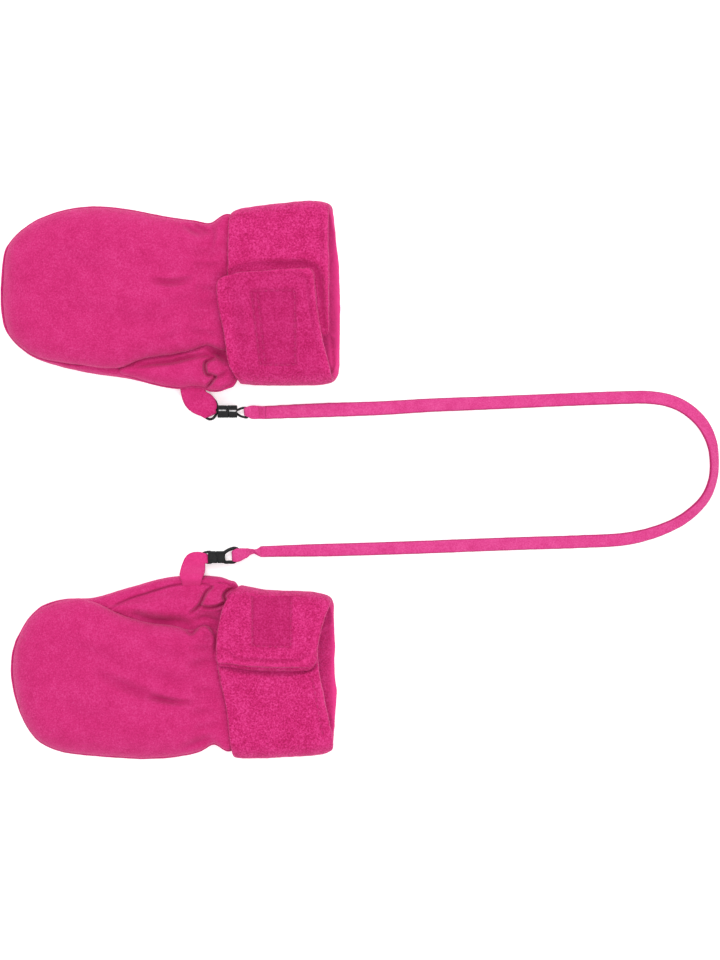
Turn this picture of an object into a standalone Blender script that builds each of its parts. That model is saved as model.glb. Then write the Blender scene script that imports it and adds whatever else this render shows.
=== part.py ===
"""A child's pair of fleece mittens, lying flat with the palms up and joined by a strap with two clips.

The tables are in millimetres and become metres when a mesh is made. x runs from the fingertips to the
cuffs and z up. Each mitten is drawn in its own flat frame, where v runs away from the thumb, so the
lower mitten is laid out mirrored and has its own outline.
"""

import math
from collections import namedtuple

import bmesh
import bpy
import numpy as np

MM = 0.001

# Cloth and gaps
GAP = 0.3
SEAM_GAP = 0.5
FLEECE = 2.2
CUFF_WALL = 3.2
TAB_WALL = 1.5
STRAP_WALL = 1.2

# Rolled edge of the back panel, seen in section
RIM_HALF = 3.8
RIM_REACH = 4.4
CURL_RADIUS = 3.5
CURL_RISE = 4.2
EVEN_INSET = 0.25
CURL_STEPS = 3

# Wrist and cuff
ELASTIC_X = 16.5
LIFT_START = 15.0
LIFT_END = 25.5
CUFF_FLOOR = CUFF_WALL + GAP
CEILING_WRIST = 13.4
CEILING_HEM = 12.6
CUFF_START_X = 27.0
CUFF_END_X = 76.0
CUFF_DOME = 0.8
FOLD_SQUARENESS = 12
FLAT_TRIM = 1.03
FLAP_LIFT = CUFF_WALL + 0.4
LIFT_TURN = 150.0
LIFT_TURNED = 212.0

# Palm and thumb
PALM_SHOULDER = 17.0
SHOULDER_BASE = 0.8
SHOULDER_SPREAD = 0.06
THUMB_TUCK = 3.0
THUMB_UNDER = 0.55
THUMB_BULGE = 3.2
THUMB_SLOPE = 0.26
THUMB_START = 2.6
THUMB_LEDGE = 0.4
THUMB_CREASE_START = 6.0
THUMB_CREASE_FULL = 10.0
CREASE_FADE = 5.0
PANEL_END = 34.2

# Grid of the panels
KNUCKLE = -57.0
TIP_ROWS = 7
HAND_ROWS = 11
WRIST_ROWS = 9
WRIST_START = 9.0
EDGE_STEPS = (0.0, 0.5, 1.6, 3.6, 6.8)
BACK_EDGE_STEPS = (0.0, 0.35, 1.1, 2.4, 4.4)
PALM_MIDDLE = 12
BACK_MIDDLE = 5
THUMB_SHARES = (0.0, 0.04, 0.12, 0.26, 0.42, 0.58, 0.74, 0.88, 1.0)
OUTLINE_STEP = 0.25
NORMAL_REACH = 8
TIP_BUNCHING = 0.8
TIP_BOW_FADE = 1.5
EDGE_ROOM = 3.4
CREASE_END = 0.1

# Grid of the cuff and of the tab
BAND_SHARES = (0.0, 0.03, 0.1, 0.24, 0.4, 0.56, 0.72, 0.87, 0.97, 1.0)
END_STEPS = (6.0, 3.2, 1.4, 0.4, 0.0)
FOLD_STEP = 9.0
FOLD_SPAN = 40.0
FLAT_STEP = 15.0
LAST_STEP = 4.0
TAB_SHARES = (0.0, 0.2, 0.5, 0.8, 1.0)
TAB_TURN_STEPS = 6
TAB_CLIMB_STEPS = 3
TAB_UNDER_ROOT = 0.9
BEND_STEPS = 6

# Clip, rings and strap
RING_WIRE = 1.35
RING_HEIGHT = 2.45
CLIP_THICKNESS = 4.7
CLIP_WIDTH = 5.5
CLIP_BEVEL = 0.5
CLIP_STEP = 0.7
RING_SIDES = 6
RING_STEPS = 16
RING_SQUARENESS = 0.4
RING_SUNK = 0.9
STRAP_WIDTH = 5.8
STRAP_THICKNESS = 1.6
STRAP_NECK = 2.3
STRAP_END_GAP = 0.6
STRAP_FLOOR = 0.05
STRAP_SETTLE = 1.1
STRAP_SPREAD = 0.6
STRAP_ROWS = (0.25, 0.5, 0.75, 1.0)
STRAP_SHARES = (-0.5, -0.2, 0.2, 0.5)
ROUTE_STEP = 2.0
CORD_POINT_STEP = 8.6
CORD_BEVEL_STEPS = 2
SHARP_ANGLE = 50.0

Side = namedtuple("Side", "x v")
Band = namedtuple("Band", "x width")
Valley = namedtuple("Valley", "x v lift")
Crown = namedtuple("Crown", "x height")
Gather = namedtuple("Gather", "v depth width reach")
Crease = namedtuple("Crease", "x0 v0 x1 v1 depth width")
Folds = namedtuple("Folds", "x outer thumb")
Wrap = namedtuple("Wrap", "turn left right")
Tab = namedtuple("Tab", "x v inner outer square root climb bar ring_v ring_width neck")
Clip = namedtuple("Clip", "left step right v bar ring_width")
Mitten = namedtuple(
    "Mitten",
    "name centre side outer tip thumb band palm_start valley crown gathers creases"
    " folds wraps start end corner_left corner_right tab clip",
)

UPPER = Mitten(
    name="upper",
    centre=80.3,
    side=1,
    outer=(
        Side(-73.6, 24.0), Side(-70.6, 28.2), Side(-65.7, 32.4), Side(-60.3, 36.0),
        Side(-54.9, 38.3), Side(-46.8, 40.8), Side(-38.7, 42.0), Side(-31.0, 42.2), Side(-22.5, 41.4),
        Side(-11.7, 39.6), Side(-3.6, 37.8), Side(4.5, 36.6), Side(12.6, 35.5), Side(15.8, 34.6),
        Side(18.5, 34.3), Side(20.8, 35.8), Side(23.2, 37.4), Side(25.4, 37.0), Side(27.2, 35.4),
        Side(29.2, 34.0), Side(31.5, 33.4), Side(PANEL_END, 33.2),
    ),
    tip=(Side(-75.2, 19.0), Side(-75.9, 11.0), Side(-76.3, 1.0), Side(-75.9, -6.0), Side(-75.0, -11.0)),
    thumb=(
        Side(-73.2, -15.0), Side(-71.0, -18.2), Side(-68.0, -21.0), Side(-63.9, -24.3),
        Side(-57.6, -27.4), Side(-49.5, -29.9), Side(-41.4, -31.9), Side(-33.3, -33.4), Side(-22.5, -34.8),
        Side(-17.1, -35.5), Side(-11.7, -36.9), Side(-6.3, -38.5), Side(-0.9, -39.6), Side(7.2, -40.3),
        Side(15.3, -40.8), Side(20.7, -41.0), Side(24.0, -40.3), Side(26.2, -38.6), Side(27.7, -35.6),
        Side(28.9, -32.6), Side(30.8, -31.0), Side(PANEL_END, -30.4),
    ),
    band=(
        Band(-76.0, 0.3), Band(-62.0, 0.4), Band(-56.0, 0.9), Band(-45.0, 2.1), Band(-33.0, 3.3),
        Band(-24.0, 3.7), Band(-21.5, 3.1), Band(-19.5, 1.7), Band(-17.5, 0.6), Band(-14.0, 0.3),
        Band(PANEL_END, 0.3),
    ),
    palm_start=-22.6,
    valley=(
        Valley(-22.0, -30.4, 8.8), Valley(-18.9, -29.0, 9.2), Valley(-15.0, -27.4, 9.4),
        Valley(-10.8, -26.1, 9.4), Valley(-2.7, -25.2, 9.4), Valley(9.0, -23.0, 9.4),
        Valley(14.9, -20.7, 9.4), Valley(17.6, -20.3, 9.6), Valley(21.2, -22.1, 10.0),
        Valley(26.1, -23.4, 10.2), Valley(30.0, -21.6, 10.2), Valley(PANEL_END, -20.4, 10.2),
    ),
    crown=(
        Crown(-76.0, 12.5), Crown(-62.0, 15.5), Crown(-40.0, 17.2), Crown(-15.0, 17.4), Crown(5.0, 16.2),
        Crown(12.0, 14.8), Crown(16.5, 13.4), Crown(21.5, 14.8), Crown(25.5, 13.6), Crown(28.5, 12.9),
        Crown(PANEL_END, 12.8),
    ),
    gathers=(
        Gather(-17.0, 0.9, 3.0, 9.0), Gather(-8.5, 0.8, 2.8, 7.0), Gather(1.5, 1.0, 3.2, 10.0),
        Gather(11.5, 0.7, 2.8, 6.5), Gather(20.5, 1.0, 3.0, 9.0), Gather(30.5, 1.3, 2.8, 11.0),
        Gather(-27.0, 1.3, 2.2, 5.5), Gather(-34.0, 1.5, 2.0, 6.0),
    ),
    creases=(
        Crease(-8.0, 10.4, 10.0, 7.4, 1.1, 3.4), Crease(-22.0, -8.6, 2.0, -8.6, 0.6, 5.0),
        Crease(8.0, 33.0, 18.0, 30.0, 1.2, 2.6), Crease(-12.0, -29.4, 14.0, -25.6, 0.9, 1.6),
    ),
    folds=(
        Folds(26.0, 38.6, -36.4), Folds(31.5, 41.4, -37.0), Folds(42.0, 42.8, -37.8),
        Folds(53.0, 44.1, -37.8), Folds(66.0, 45.0, -37.8), Folds(70.0, 44.2, -37.6),
        Folds(73.0, 41.9, -36.2), Folds(76.5, 37.0, -31.5),
    ),
    wraps=(
        Wrap(-125.0, 26.1, 71.4), Wrap(-60.0, 26.1, 71.4), Wrap(-20.0, 26.6, 71.4), Wrap(0.0, 28.4, 72.2),
        Wrap(40.0, 27.4, 74.6), Wrap(90.0, 27.0, 76.0), Wrap(145.0, 27.6, 75.6), Wrap(165.0, 30.2, 74.8),
        Wrap(180.0, 31.6, 73.0), Wrap(195.0, 30.2, 72.4), Wrap(212.0, 26.6, 71.6), Wrap(245.0, 24.4, 67.9),
        Wrap(270.0, 20.8, 65.7), Wrap(290.0, 20.6, 65.3),
    ),
    start=-120.0,
    end=285.4,
    corner_left=6.0,
    corner_right=3.2,
    tab=Tab(
        x=16.5, v=-42.3, inner=0.9, outer=11.5, square=2.3, root=0.9, climb=0.0, bar=17.5, ring_v=-49.9,
        ring_width=8.0, neck=4.2,
    ),
    clip=Clip(left=20.7, step=25.9, right=30.1, v=-49.95, bar=34.4, ring_width=6.4),
)

LOWER = Mitten(
    name="lower",
    centre=-86.2,
    side=-1,
    outer=(
        Side(-67.5, 19.4), Side(-65.0, 24.8),
        Side(-61.2, 30.2), Side(-57.6, 33.3), Side(-52.2, 36.0), Side(-46.8, 37.4), Side(-38.7, 38.3),
        Side(-27.9, 39.2), Side(-11.7, 40.1), Side(-0.9, 39.6), Side(7.2, 38.5), Side(12.6, 37.1),
        Side(15.3, 36.0), Side(17.8, 34.0), Side(19.8, 33.0), Side(21.8, 33.9), Side(23.9, 35.2),
        Side(25.6, 35.0), Side(27.4, 33.6), Side(29.4, 32.0), Side(PANEL_END, 31.0),
    ),
    tip=(
        Side(-69.3, 14.0), Side(-70.9, 8.0), Side(-71.7, 1.5), Side(-71.6, -4.5), Side(-71.0, -8.6),
        Side(-69.8, -12.4),
    ),
    thumb=(
        Side(-68.0, -16.2), Side(-65.7, -20.3),
        Side(-63.0, -24.2), Side(-59.0, -27.9), Side(-54.9, -30.2), Side(-49.5, -31.7), Side(-44.1, -32.3),
        Side(-38.7, -31.9), Side(-35.6, -31.8), Side(-32.6, -32.8), Side(-27.9, -34.2), Side(-22.5, -36.0),
        Side(-17.1, -37.5), Side(-11.7, -39.1), Side(-6.3, -40.6), Side(-0.9, -41.8), Side(5.0, -42.4),
        Side(12.0, -42.5), Side(18.9, -42.3), Side(23.4, -41.8), Side(25.8, -40.6), Side(27.3, -38.8),
        Side(28.4, -36.0), Side(29.4, -33.2), Side(31.3, -31.4), Side(PANEL_END, -30.8),
    ),
    band=(
        Band(-76.0, 0.3), Band(-44.0, 0.3), Band(-40.5, 1.0), Band(-36.5, 2.4), Band(-32.5, 4.6),
        Band(-27.6, 5.6), Band(-21.2, 4.7), Band(-14.4, 4.1), Band(-5.9, 3.9), Band(2.7, 3.5),
        Band(15.8, 3.2), Band(22.0, 2.4), Band(27.0, 1.0), Band(31.0, 0.4), Band(PANEL_END, 0.3),
    ),
    palm_start=-28.4,
    valley=(
        Valley(-26.8, -27.0, 9.0), Valley(-21.6, -24.9, 9.4), Valley(-16.7, -23.4, 9.4),
        Valley(-9.5, -21.2, 9.4), Valley(-1.4, -20.7, 9.4), Valley(5.0, -19.6, 9.4),
        Valley(9.4, -17.8, 9.4), Valley(12.2, -19.0, 9.5), Valley(15.0, -20.6, 9.6),
        Valley(18.0, -20.0, 9.8), Valley(21.0, -17.6, 10.0), Valley(26.0, -18.4, 10.2),
        Valley(PANEL_END, -20.4, 10.2),
    ),
    crown=(
        Crown(-76.0, 12.0), Crown(-60.0, 15.2), Crown(-38.0, 17.2), Crown(-12.0, 17.4), Crown(5.0, 16.2),
        Crown(12.0, 14.2), Crown(16.5, 12.8), Crown(20.0, 12.9), Crown(PANEL_END, 12.8),
    ),
    gathers=(
        Gather(-13.0, 0.9, 3.0, 7.0), Gather(-4.0, 0.8, 3.0, 8.0), Gather(5.5, 0.9, 2.8, 6.5),
        Gather(14.0, 1.0, 3.2, 10.0), Gather(23.0, 0.8, 2.8, 7.0), Gather(31.0, 1.3, 2.6, 9.0),
        Gather(-26.0, 1.3, 2.2, 5.5), Gather(-34.5, 1.4, 2.0, 6.0),
    ),
    creases=(
        Crease(-26.0, 2.0, 8.0, 14.0, 1.1, 3.6), Crease(-40.0, -4.0, -14.0, 2.0, 0.5, 6.0),
        Crease(9.0, 33.0, 15.0, 30.0, 1.2, 2.6),
    ),
    folds=(
        Folds(26.0, 36.8, -38.0), Folds(30.0, 39.2, -38.6), Folds(36.0, 39.5, -37.7),
        Folds(44.0, 39.2, -36.2), Folds(55.0, 38.6, -35.9), Folds(66.0, 38.0, -35.5),
        Folds(70.0, 37.2, -34.6), Folds(73.0, 34.4, -31.6), Folds(76.5, 30.0, -26.0),
    ),
    wraps=(
        Wrap(-125.0, 20.8, 66.6), Wrap(-96.0, 20.8, 66.6), Wrap(-80.0, 23.0, 68.2), Wrap(-60.0, 25.6, 70.2),
        Wrap(-30.0, 27.0, 72.2), Wrap(0.0, 28.9, 72.0), Wrap(45.0, 27.4, 73.4), Wrap(90.0, 27.0, 74.6),
        Wrap(145.0, 27.6, 73.8), Wrap(165.0, 30.2, 73.2), Wrap(180.0, 31.6, 72.4), Wrap(195.0, 29.4, 72.0),
        Wrap(210.0, 25.4, 71.4), Wrap(225.0, 23.2, 69.6), Wrap(245.0, 21.2, 67.0), Wrap(262.0, 20.8, 66.2),
        Wrap(290.0, 20.8, 65.8),
    ),
    start=-120.0,
    end=268.2,
    corner_left=2.6,
    corner_right=3.4,
    tab=Tab(
        x=13.3, v=-43.6, inner=2.0, outer=9.6, square=4.0, root=4.4, climb=4.7, bar=13.5, ring_v=-50.4,
        ring_width=6.6, neck=2.9,
    ),
    clip=Clip(left=16.6, step=20.7, right=24.8, v=-50.85, bar=29.9, ring_width=7.65),
)

CORD_ROUTE = (
    (42.0, 29.7), (56.0, 30.3), (72.0, 30.9), (95.0, 31.8), (117.0, 33.1), (140.0, 34.0), (161.6, 34.9),
    (180.0, 35.7), (193.5, 36.1), (206.1, 36.5), (216.0, 36.4), (225.0, 34.9), (232.7, 31.3),
    (239.9, 24.5), (243.9, 16.0), (245.0, 7.4), (244.4, -0.7), (241.2, -9.2), (232.2, -17.3),
    (221.0, -22.7), (206.3, -26.8), (184.0, -28.3), (161.6, -29.5), (140.0, -30.4), (117.0, -31.3),
    (95.0, -31.9), (72.0, -32.3), (56.0, -32.6), (40.6, -33.0),
)

FLEECE_PINK = (0.680, 0.036, 0.198)
CUFF_PINK = (0.640, 0.030, 0.180)
CORD_PINK = (0.800, 0.068, 0.300)
CLIP_BLACK = (0.016, 0.016, 0.017)


def clear_scene():
    """Removes every object of the open file."""
    for item in list(bpy.data.objects):
        bpy.data.objects.remove(item, do_unlink=True)


def make_material(name, colour, roughness):
    """A plain surface with its own colour."""
    material = bpy.data.materials.new(name)
    material.use_nodes = True
    shader = material.node_tree.nodes["Principled BSDF"]
    shader.inputs["Base Color"].default_value = (*colour, 1.0)
    shader.inputs["Roughness"].default_value = roughness
    shader.inputs["Metallic"].default_value = 0.0
    return material


def column(rows, name):
    """One named column of a table."""
    return np.array([getattr(row, name) for row in rows], float)


def ease(value):
    """A smooth rise from 0 to 1."""
    value = np.clip(value, 0.0, 1.0)
    return value * value * (3.0 - 2.0 * value)


def read_table(rows, key, name, at):
    """A cubic through a table's rows that never overshoots them."""
    places = column(rows, key)
    values = column(rows, name)
    at = np.asarray(at, float)
    step = np.diff(places)
    slope = np.diff(values) / step
    tangent = np.zeros(len(places))
    same = slope[:-1] * slope[1:] > 0.0
    tangent[1:-1][same] = 2.0 / (1.0 / slope[:-1][same] + 1.0 / slope[1:][same])
    index = np.clip(np.searchsorted(places, at, side="right") - 1, 0, len(step) - 1)
    t = np.clip((at - places[index]) / step[index], 0.0, 1.0)
    rise = ease(t)
    start_pull = t * (1.0 - t) ** 2 * step[index] * tangent[index]
    end_pull = t * t * (t - 1.0) * step[index] * tangent[index + 1]
    return values[index] * (1.0 - rise) + values[index + 1] * rise + start_pull + end_pull


def smooth_line(points, spacing):
    """A smooth line through the points, read about once every spacing."""
    points = np.asarray(points, float)
    lengths = np.linalg.norm(np.diff(points, axis=0), axis=1)
    knots = np.concatenate([[0.0], np.cumsum(np.sqrt(lengths))])
    tangents = np.gradient(points, knots, axis=0)
    pieces = []
    for start, length in enumerate(lengths):
        count = max(2, math.ceil(length / spacing))
        t = np.linspace(0.0, 1.0, count, endpoint=False)[:, None]
        step = knots[start + 1] - knots[start]
        rise = ease(t)
        pull = t * (1.0 - t) ** 2 * step * tangents[start] + t * t * (t - 1.0) * step * tangents[start + 1]
        pieces.append(points[start] * (1.0 - rise) + points[start + 1] * rise + pull)
    pieces.append(points[-1:])
    return np.concatenate(pieces)


def even_points(line, count):
    """A number of points spaced evenly along a line."""
    run = np.concatenate([[0.0], np.cumsum(np.linalg.norm(np.diff(line, axis=0), axis=1))])
    places = np.linspace(0.0, run[-1], count)
    return np.stack([np.interp(places, run, line[:, axis]) for axis in range(line.shape[1])], axis=1)


def inward_normals(line):
    """Unit vectors that point to the left of a line, smoothed along it."""
    tangents = np.gradient(line, axis=0)
    window = np.full(2 * NORMAL_REACH + 1, 1.0)
    padded = np.pad(tangents, ((NORMAL_REACH, NORMAL_REACH), (0, 0)), mode="edge")
    tangents = np.stack([np.convolve(padded[:, axis], window, mode="valid") for axis in (0, 1)], axis=1)
    normals = np.stack([-tangents[:, 1], tangents[:, 0]], axis=1)
    return normals / np.linalg.norm(normals, axis=1)[:, None]


def curl_angle(inset):
    """How far round the rolled edge turns to leave this inset."""
    inset = np.asarray(inset, float)
    return np.arccos(1.0 - inset / np.maximum(CURL_RADIUS, inset))


def wrist_lift(x):
    """How far the hand's underside rises to enter the cuff."""
    return CUFF_FLOOR * ease((np.asarray(x, float) - LIFT_START) / (LIFT_END - LIFT_START))


Rim = namedtuple("Rim", "line normals inset height tip turn")


def back_rim(mitten):
    """The mitten's whole outline, from the outer wrist round the tip, with its rolled edge."""
    line = smooth_line(mitten.outer[::-1] + mitten.tip + mitten.thumb, OUTLINE_STEP)
    tip = int(np.argmin(np.linalg.norm(line - mitten.outer[0], axis=1)))
    turn = int(np.argmin(np.linalg.norm(line - mitten.thumb[0], axis=1)))
    inset = np.full(len(line), EVEN_INSET)
    inset[turn:] = read_table(mitten.band, "x", "width", line[turn:, 0])
    height = RIM_HALF + CURL_RISE * np.sin(curl_angle(inset)) + wrist_lift(line[:, 0])
    return Rim(line, inward_normals(line), inset, height, tip, turn)


def seam_line(rim):
    """Where a panel's edge meets the rolled edge, a gap away from it."""
    angle = curl_angle(rim.inset)
    line = rim.line + rim.normals * (rim.inset + SEAM_GAP * np.sin(angle))[:, None]
    return line, rim.height + SEAM_GAP * np.cos(angle)


def palm_rim(mitten, rim):
    """The palm's outline: the seam round the hand, then the valley over the thumb."""
    line, height = seam_line(rim)
    round_hand = np.arange(len(line)) <= rim.turn
    round_hand |= line[:, 0] < mitten.palm_start
    valley = smooth_line(list(mitten.valley), OUTLINE_STEP)
    line = np.concatenate([line[round_hand], valley[:, :2]])
    height = np.concatenate([height[round_hand], valley[:, 2]])
    return Rim(line, inward_normals(line), None, height, rim.tip, rim.turn)


def split_sides(rim):
    """The two sides of an outline, each from the tip to the wrist."""
    return rim.line[rim.turn :], rim.line[rim.tip :: -1]


def body_stations():
    """The x of each row from the knuckles into the cuff."""
    hand = np.linspace(KNUCKLE, WRIST_START, HAND_ROWS + 1)[1:]
    wrist = np.linspace(WRIST_START, PANEL_END, WRIST_ROWS + 1)[1:]
    return np.concatenate([hand, wrist])


def side_rows(line):
    """One point of a side for each row: by length round the tip, then by x."""
    turn = int(np.argmax(line[:, 0] > KNUCKLE))
    shares = np.linspace(0.0, 1.0, TIP_ROWS) ** TIP_BUNCHING
    run = np.concatenate([[0.0], np.cumsum(np.linalg.norm(np.diff(line[: turn + 1], axis=0), axis=1))])
    tip = np.stack([np.interp(shares * run[-1], run, line[: turn + 1, axis]) for axis in (0, 1)], axis=1)
    stations = body_stations()
    body = np.stack([stations, np.interp(stations, line[turn:, 0], line[turn:, 1])], axis=1)
    return np.concatenate([tip, body])


def chord_shares(length, edge_steps, middle):
    """Places across a row, close together at both edges."""
    steps = np.array(edge_steps) * min(1.0, length / (EDGE_ROOM * edge_steps[-1])) / length
    inner = np.linspace(steps[-1], 1.0 - steps[-1], middle + 2)[1:-1]
    return np.concatenate([steps, inner, 1.0 - steps[::-1]])


def panel_grid(rim, edge_steps, middle):
    """Rows of plan points across an outline, from the thumb side to the outer side."""
    thumb_side, outer_side = split_sides(rim)
    starts = side_rows(thumb_side)
    ends = side_rows(outer_side)
    tip = rim.line[rim.tip : rim.turn + 1][::-1]
    tip_run = np.concatenate([[0.0], np.cumsum(np.linalg.norm(np.diff(tip, axis=0), axis=1))])
    tip_run /= tip_run[-1]
    rows = []
    for number, (start, end) in enumerate(zip(starts, ends)):
        shares = chord_shares(np.linalg.norm(end - start), edge_steps, middle)
        row = start + shares[:, None] * (end - start)
        fade = max(0.0, 1.0 - number / (TIP_ROWS - 1)) ** TIP_BOW_FADE
        round_tip = np.stack([np.interp(shares, tip_run, tip[:, axis]) for axis in (0, 1)], axis=1)
        bow = round_tip - starts[0] - shares[:, None] * (ends[0] - starts[0])
        rows.append(row + fade * bow)
    return np.array(rows)


def nearest_edge(grid, rim):
    """Each grid point's distance to the outline, and the index of the nearest place on it."""
    plan = grid.reshape(-1, 2)
    offsets = plan[:, None, :] - rim.line[None, :, :]
    distance = np.linalg.norm(offsets, axis=2)
    index = np.argmin(distance, axis=1)
    distance = distance[np.arange(len(plan)), index]
    distance[edge_indices(*grid.shape[:2])] = 0.0
    return distance, index


def grid_faces(rows, columns):
    """Four-sided faces between the rows of a grid."""
    faces = []
    for row in range(rows - 1):
        for place in range(columns - 1):
            corner = row * columns + place
            faces.append((corner, corner + columns, corner + columns + 1, corner + 1))
    return faces


def point_normals(points, faces):
    """Unit normals of a surface at its points."""
    normals = np.zeros_like(points)
    for face in faces:
        a, b, c, d = points[list(face)]
        across = np.cross(c - a, d - b)
        for index in face:
            normals[index] += across
    return normals / np.linalg.norm(normals, axis=1)[:, None]


def close_wall(outside, inside, faces):
    """Points and faces of a closed wall between two like surfaces."""
    count = len(outside)
    edges = {}
    for face in faces:
        for start, end in zip(face, face[1:] + face[:1]):
            edges[(start, end)] = edges.get((start, end), 0) + 1
    closed = [tuple(face) for face in faces]
    closed += [tuple(index + count for index in reversed(face)) for face in faces]
    for start, end in edges:
        if (end, start) not in edges:
            closed.append((end, start, start + count, end + count))
    return np.concatenate([outside, inside]), closed


def add_mesh(name, points, faces, material):
    """A smooth object from points in millimetres, its faces turned outward."""
    mesh = bpy.data.meshes.new(name)
    mesh.from_pydata([tuple(point) for point in points * MM], [], faces)
    shape = bmesh.new()
    shape.from_mesh(mesh)
    bmesh.ops.recalc_face_normals(shape, faces=shape.faces)
    shape.to_mesh(mesh)
    shape.free()
    item = bpy.data.objects.new(name, mesh)
    bpy.context.scene.collection.objects.link(item)
    mesh.materials.append(material)
    mesh.shade_smooth()
    mesh.set_sharp_from_angle(angle=math.radians(SHARP_ANGLE))
    return item


def lay_out(mitten, points):
    """Takes points from a mitten's own frame to the pair's frame."""
    placed = np.array(points, float)
    placed[:, 1] = mitten.centre + mitten.side * placed[:, 1]
    return placed


def trough_depth(mitten, points):
    """How deep the creases and the gathers are at each plan point."""
    depth = np.zeros(len(points))
    for crease in mitten.creases:
        start = np.array((crease.x0, crease.v0))
        run = np.array((crease.x1, crease.v1)) - start
        share = np.clip((points - start) @ run / (run @ run), 0.0, 1.0)
        off = np.linalg.norm(points - start - share[:, None] * run, axis=1)
        along = np.sin(math.pi * (CREASE_END + (1.0 - 2.0 * CREASE_END) * share))
        depth += crease.depth * along * np.exp(-((off / crease.width) ** 2))
    for gather in mitten.gathers:
        along = np.exp(-(((points[:, 0] - ELASTIC_X) / gather.reach) ** 2))
        across = np.exp(-(((points[:, 1] - gather.v) / gather.width) ** 2))
        depth += gather.depth * along * across
    return depth


def shoulder(distance, reach):
    """The rise of a padded edge: upright at the seam, level at its reach."""
    share = np.clip(distance / reach, 0.0, 1.0)
    return np.sqrt(1.0 - (1.0 - share) ** 2)


def make_palm(mitten, rim, material):
    """The front of the hand, domed, creased and gathered at the wrist."""
    edge = palm_rim(mitten, rim)
    grid = panel_grid(edge, EDGE_STEPS, PALM_MIDDLE)
    rows, columns = grid.shape[:2]
    plan = grid.reshape(-1, 2)
    distance, nearest = nearest_edge(grid, edge)
    crown = read_table(mitten.crown, "x", "height", plan[:, 0])
    edge_height = edge.height[nearest]
    climb = crown - edge_height
    reach = np.minimum(PALM_SHOULDER, climb * (SHOULDER_BASE + SHOULDER_SPREAD * climb))
    height = edge_height + climb * shoulder(distance, reach)
    height -= trough_depth(mitten, plan) * ease(distance / CREASE_FADE)
    outside = np.column_stack([plan, height])
    faces = grid_faces(rows, columns)
    normals = point_normals(outside, faces)
    if normals[:, 2].mean() < 0.0:
        normals = -normals
    for index in edge_indices(rows, columns):
        normals[index] = (*-edge.normals[nearest[index]], 0.0)
    points, closed = close_wall(outside, outside - normals * FLEECE, faces)
    add_mesh(f"{mitten.name}_palm_panel", lay_out(mitten, points), closed, material)


def edge_indices(rows, columns):
    """Grid indices round the hand, from the thumb side's wrist over the tip to the outer wrist."""
    thumb_side = [row * columns for row in range(rows - 1, 0, -1)]
    tip = list(range(columns))
    outer_side = [row * columns + columns - 1 for row in range(1, rows)]
    return thumb_side + tip + outer_side


def make_back(mitten, rim, material):
    """The back of hand and thumb: flat below, with an edge that rolls up and over."""
    grid = panel_grid(rim, BACK_EDGE_STEPS, BACK_MIDDLE)
    rows, columns = grid.shape[:2]
    plan = grid.reshape(-1, 2)
    distance, nearest = nearest_edge(grid, rim)
    share = np.clip(1.0 - distance / RIM_REACH, 0.0, 1.0)
    height = RIM_HALF * (1.0 - np.sqrt(1.0 - share**2)) + wrist_lift(plan[:, 0])
    points = [np.column_stack([plan, height])]
    faces = grid_faces(rows, columns)
    border = edge_indices(rows, columns)
    place = nearest[border]
    angle = curl_angle(rim.inset[place])
    radius = np.maximum(CURL_RADIUS, rim.inset[place])
    below = border
    directions = [np.column_stack([-rim.normals[place], np.zeros(len(border))])]
    for step in range(1, CURL_STEPS + 1):
        turned = angle * step / CURL_STEPS
        outward = np.column_stack([-rim.normals[place] * np.cos(turned)[:, None], np.sin(turned)])
        directions.append(outward)
        ring = plan[border] + rim.normals[place] * (radius * (1.0 - np.cos(turned)))[:, None]
        lifted = RIM_HALF + CURL_RISE * np.sin(turned) + wrist_lift(plan[border, 0])
        first = sum(len(block) for block in points)
        points.append(np.column_stack([ring, lifted]))
        above = list(range(first, first + len(border)))
        for spot in range(len(border) - 1):
            faces.append((below[spot], below[spot + 1], above[spot + 1], above[spot]))
        below = above
    outside = np.concatenate(points)
    normals = point_normals(outside, faces)
    if normals[: rows * columns, 2].mean() > 0.0:
        normals = -normals
    normals[border] = directions[0]
    normals[rows * columns :] = np.concatenate(directions[1:])
    points, closed = close_wall(outside, outside - normals * FLEECE, faces)
    add_mesh(f"{mitten.name}_back_panel", lay_out(mitten, points), closed, material)


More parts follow.
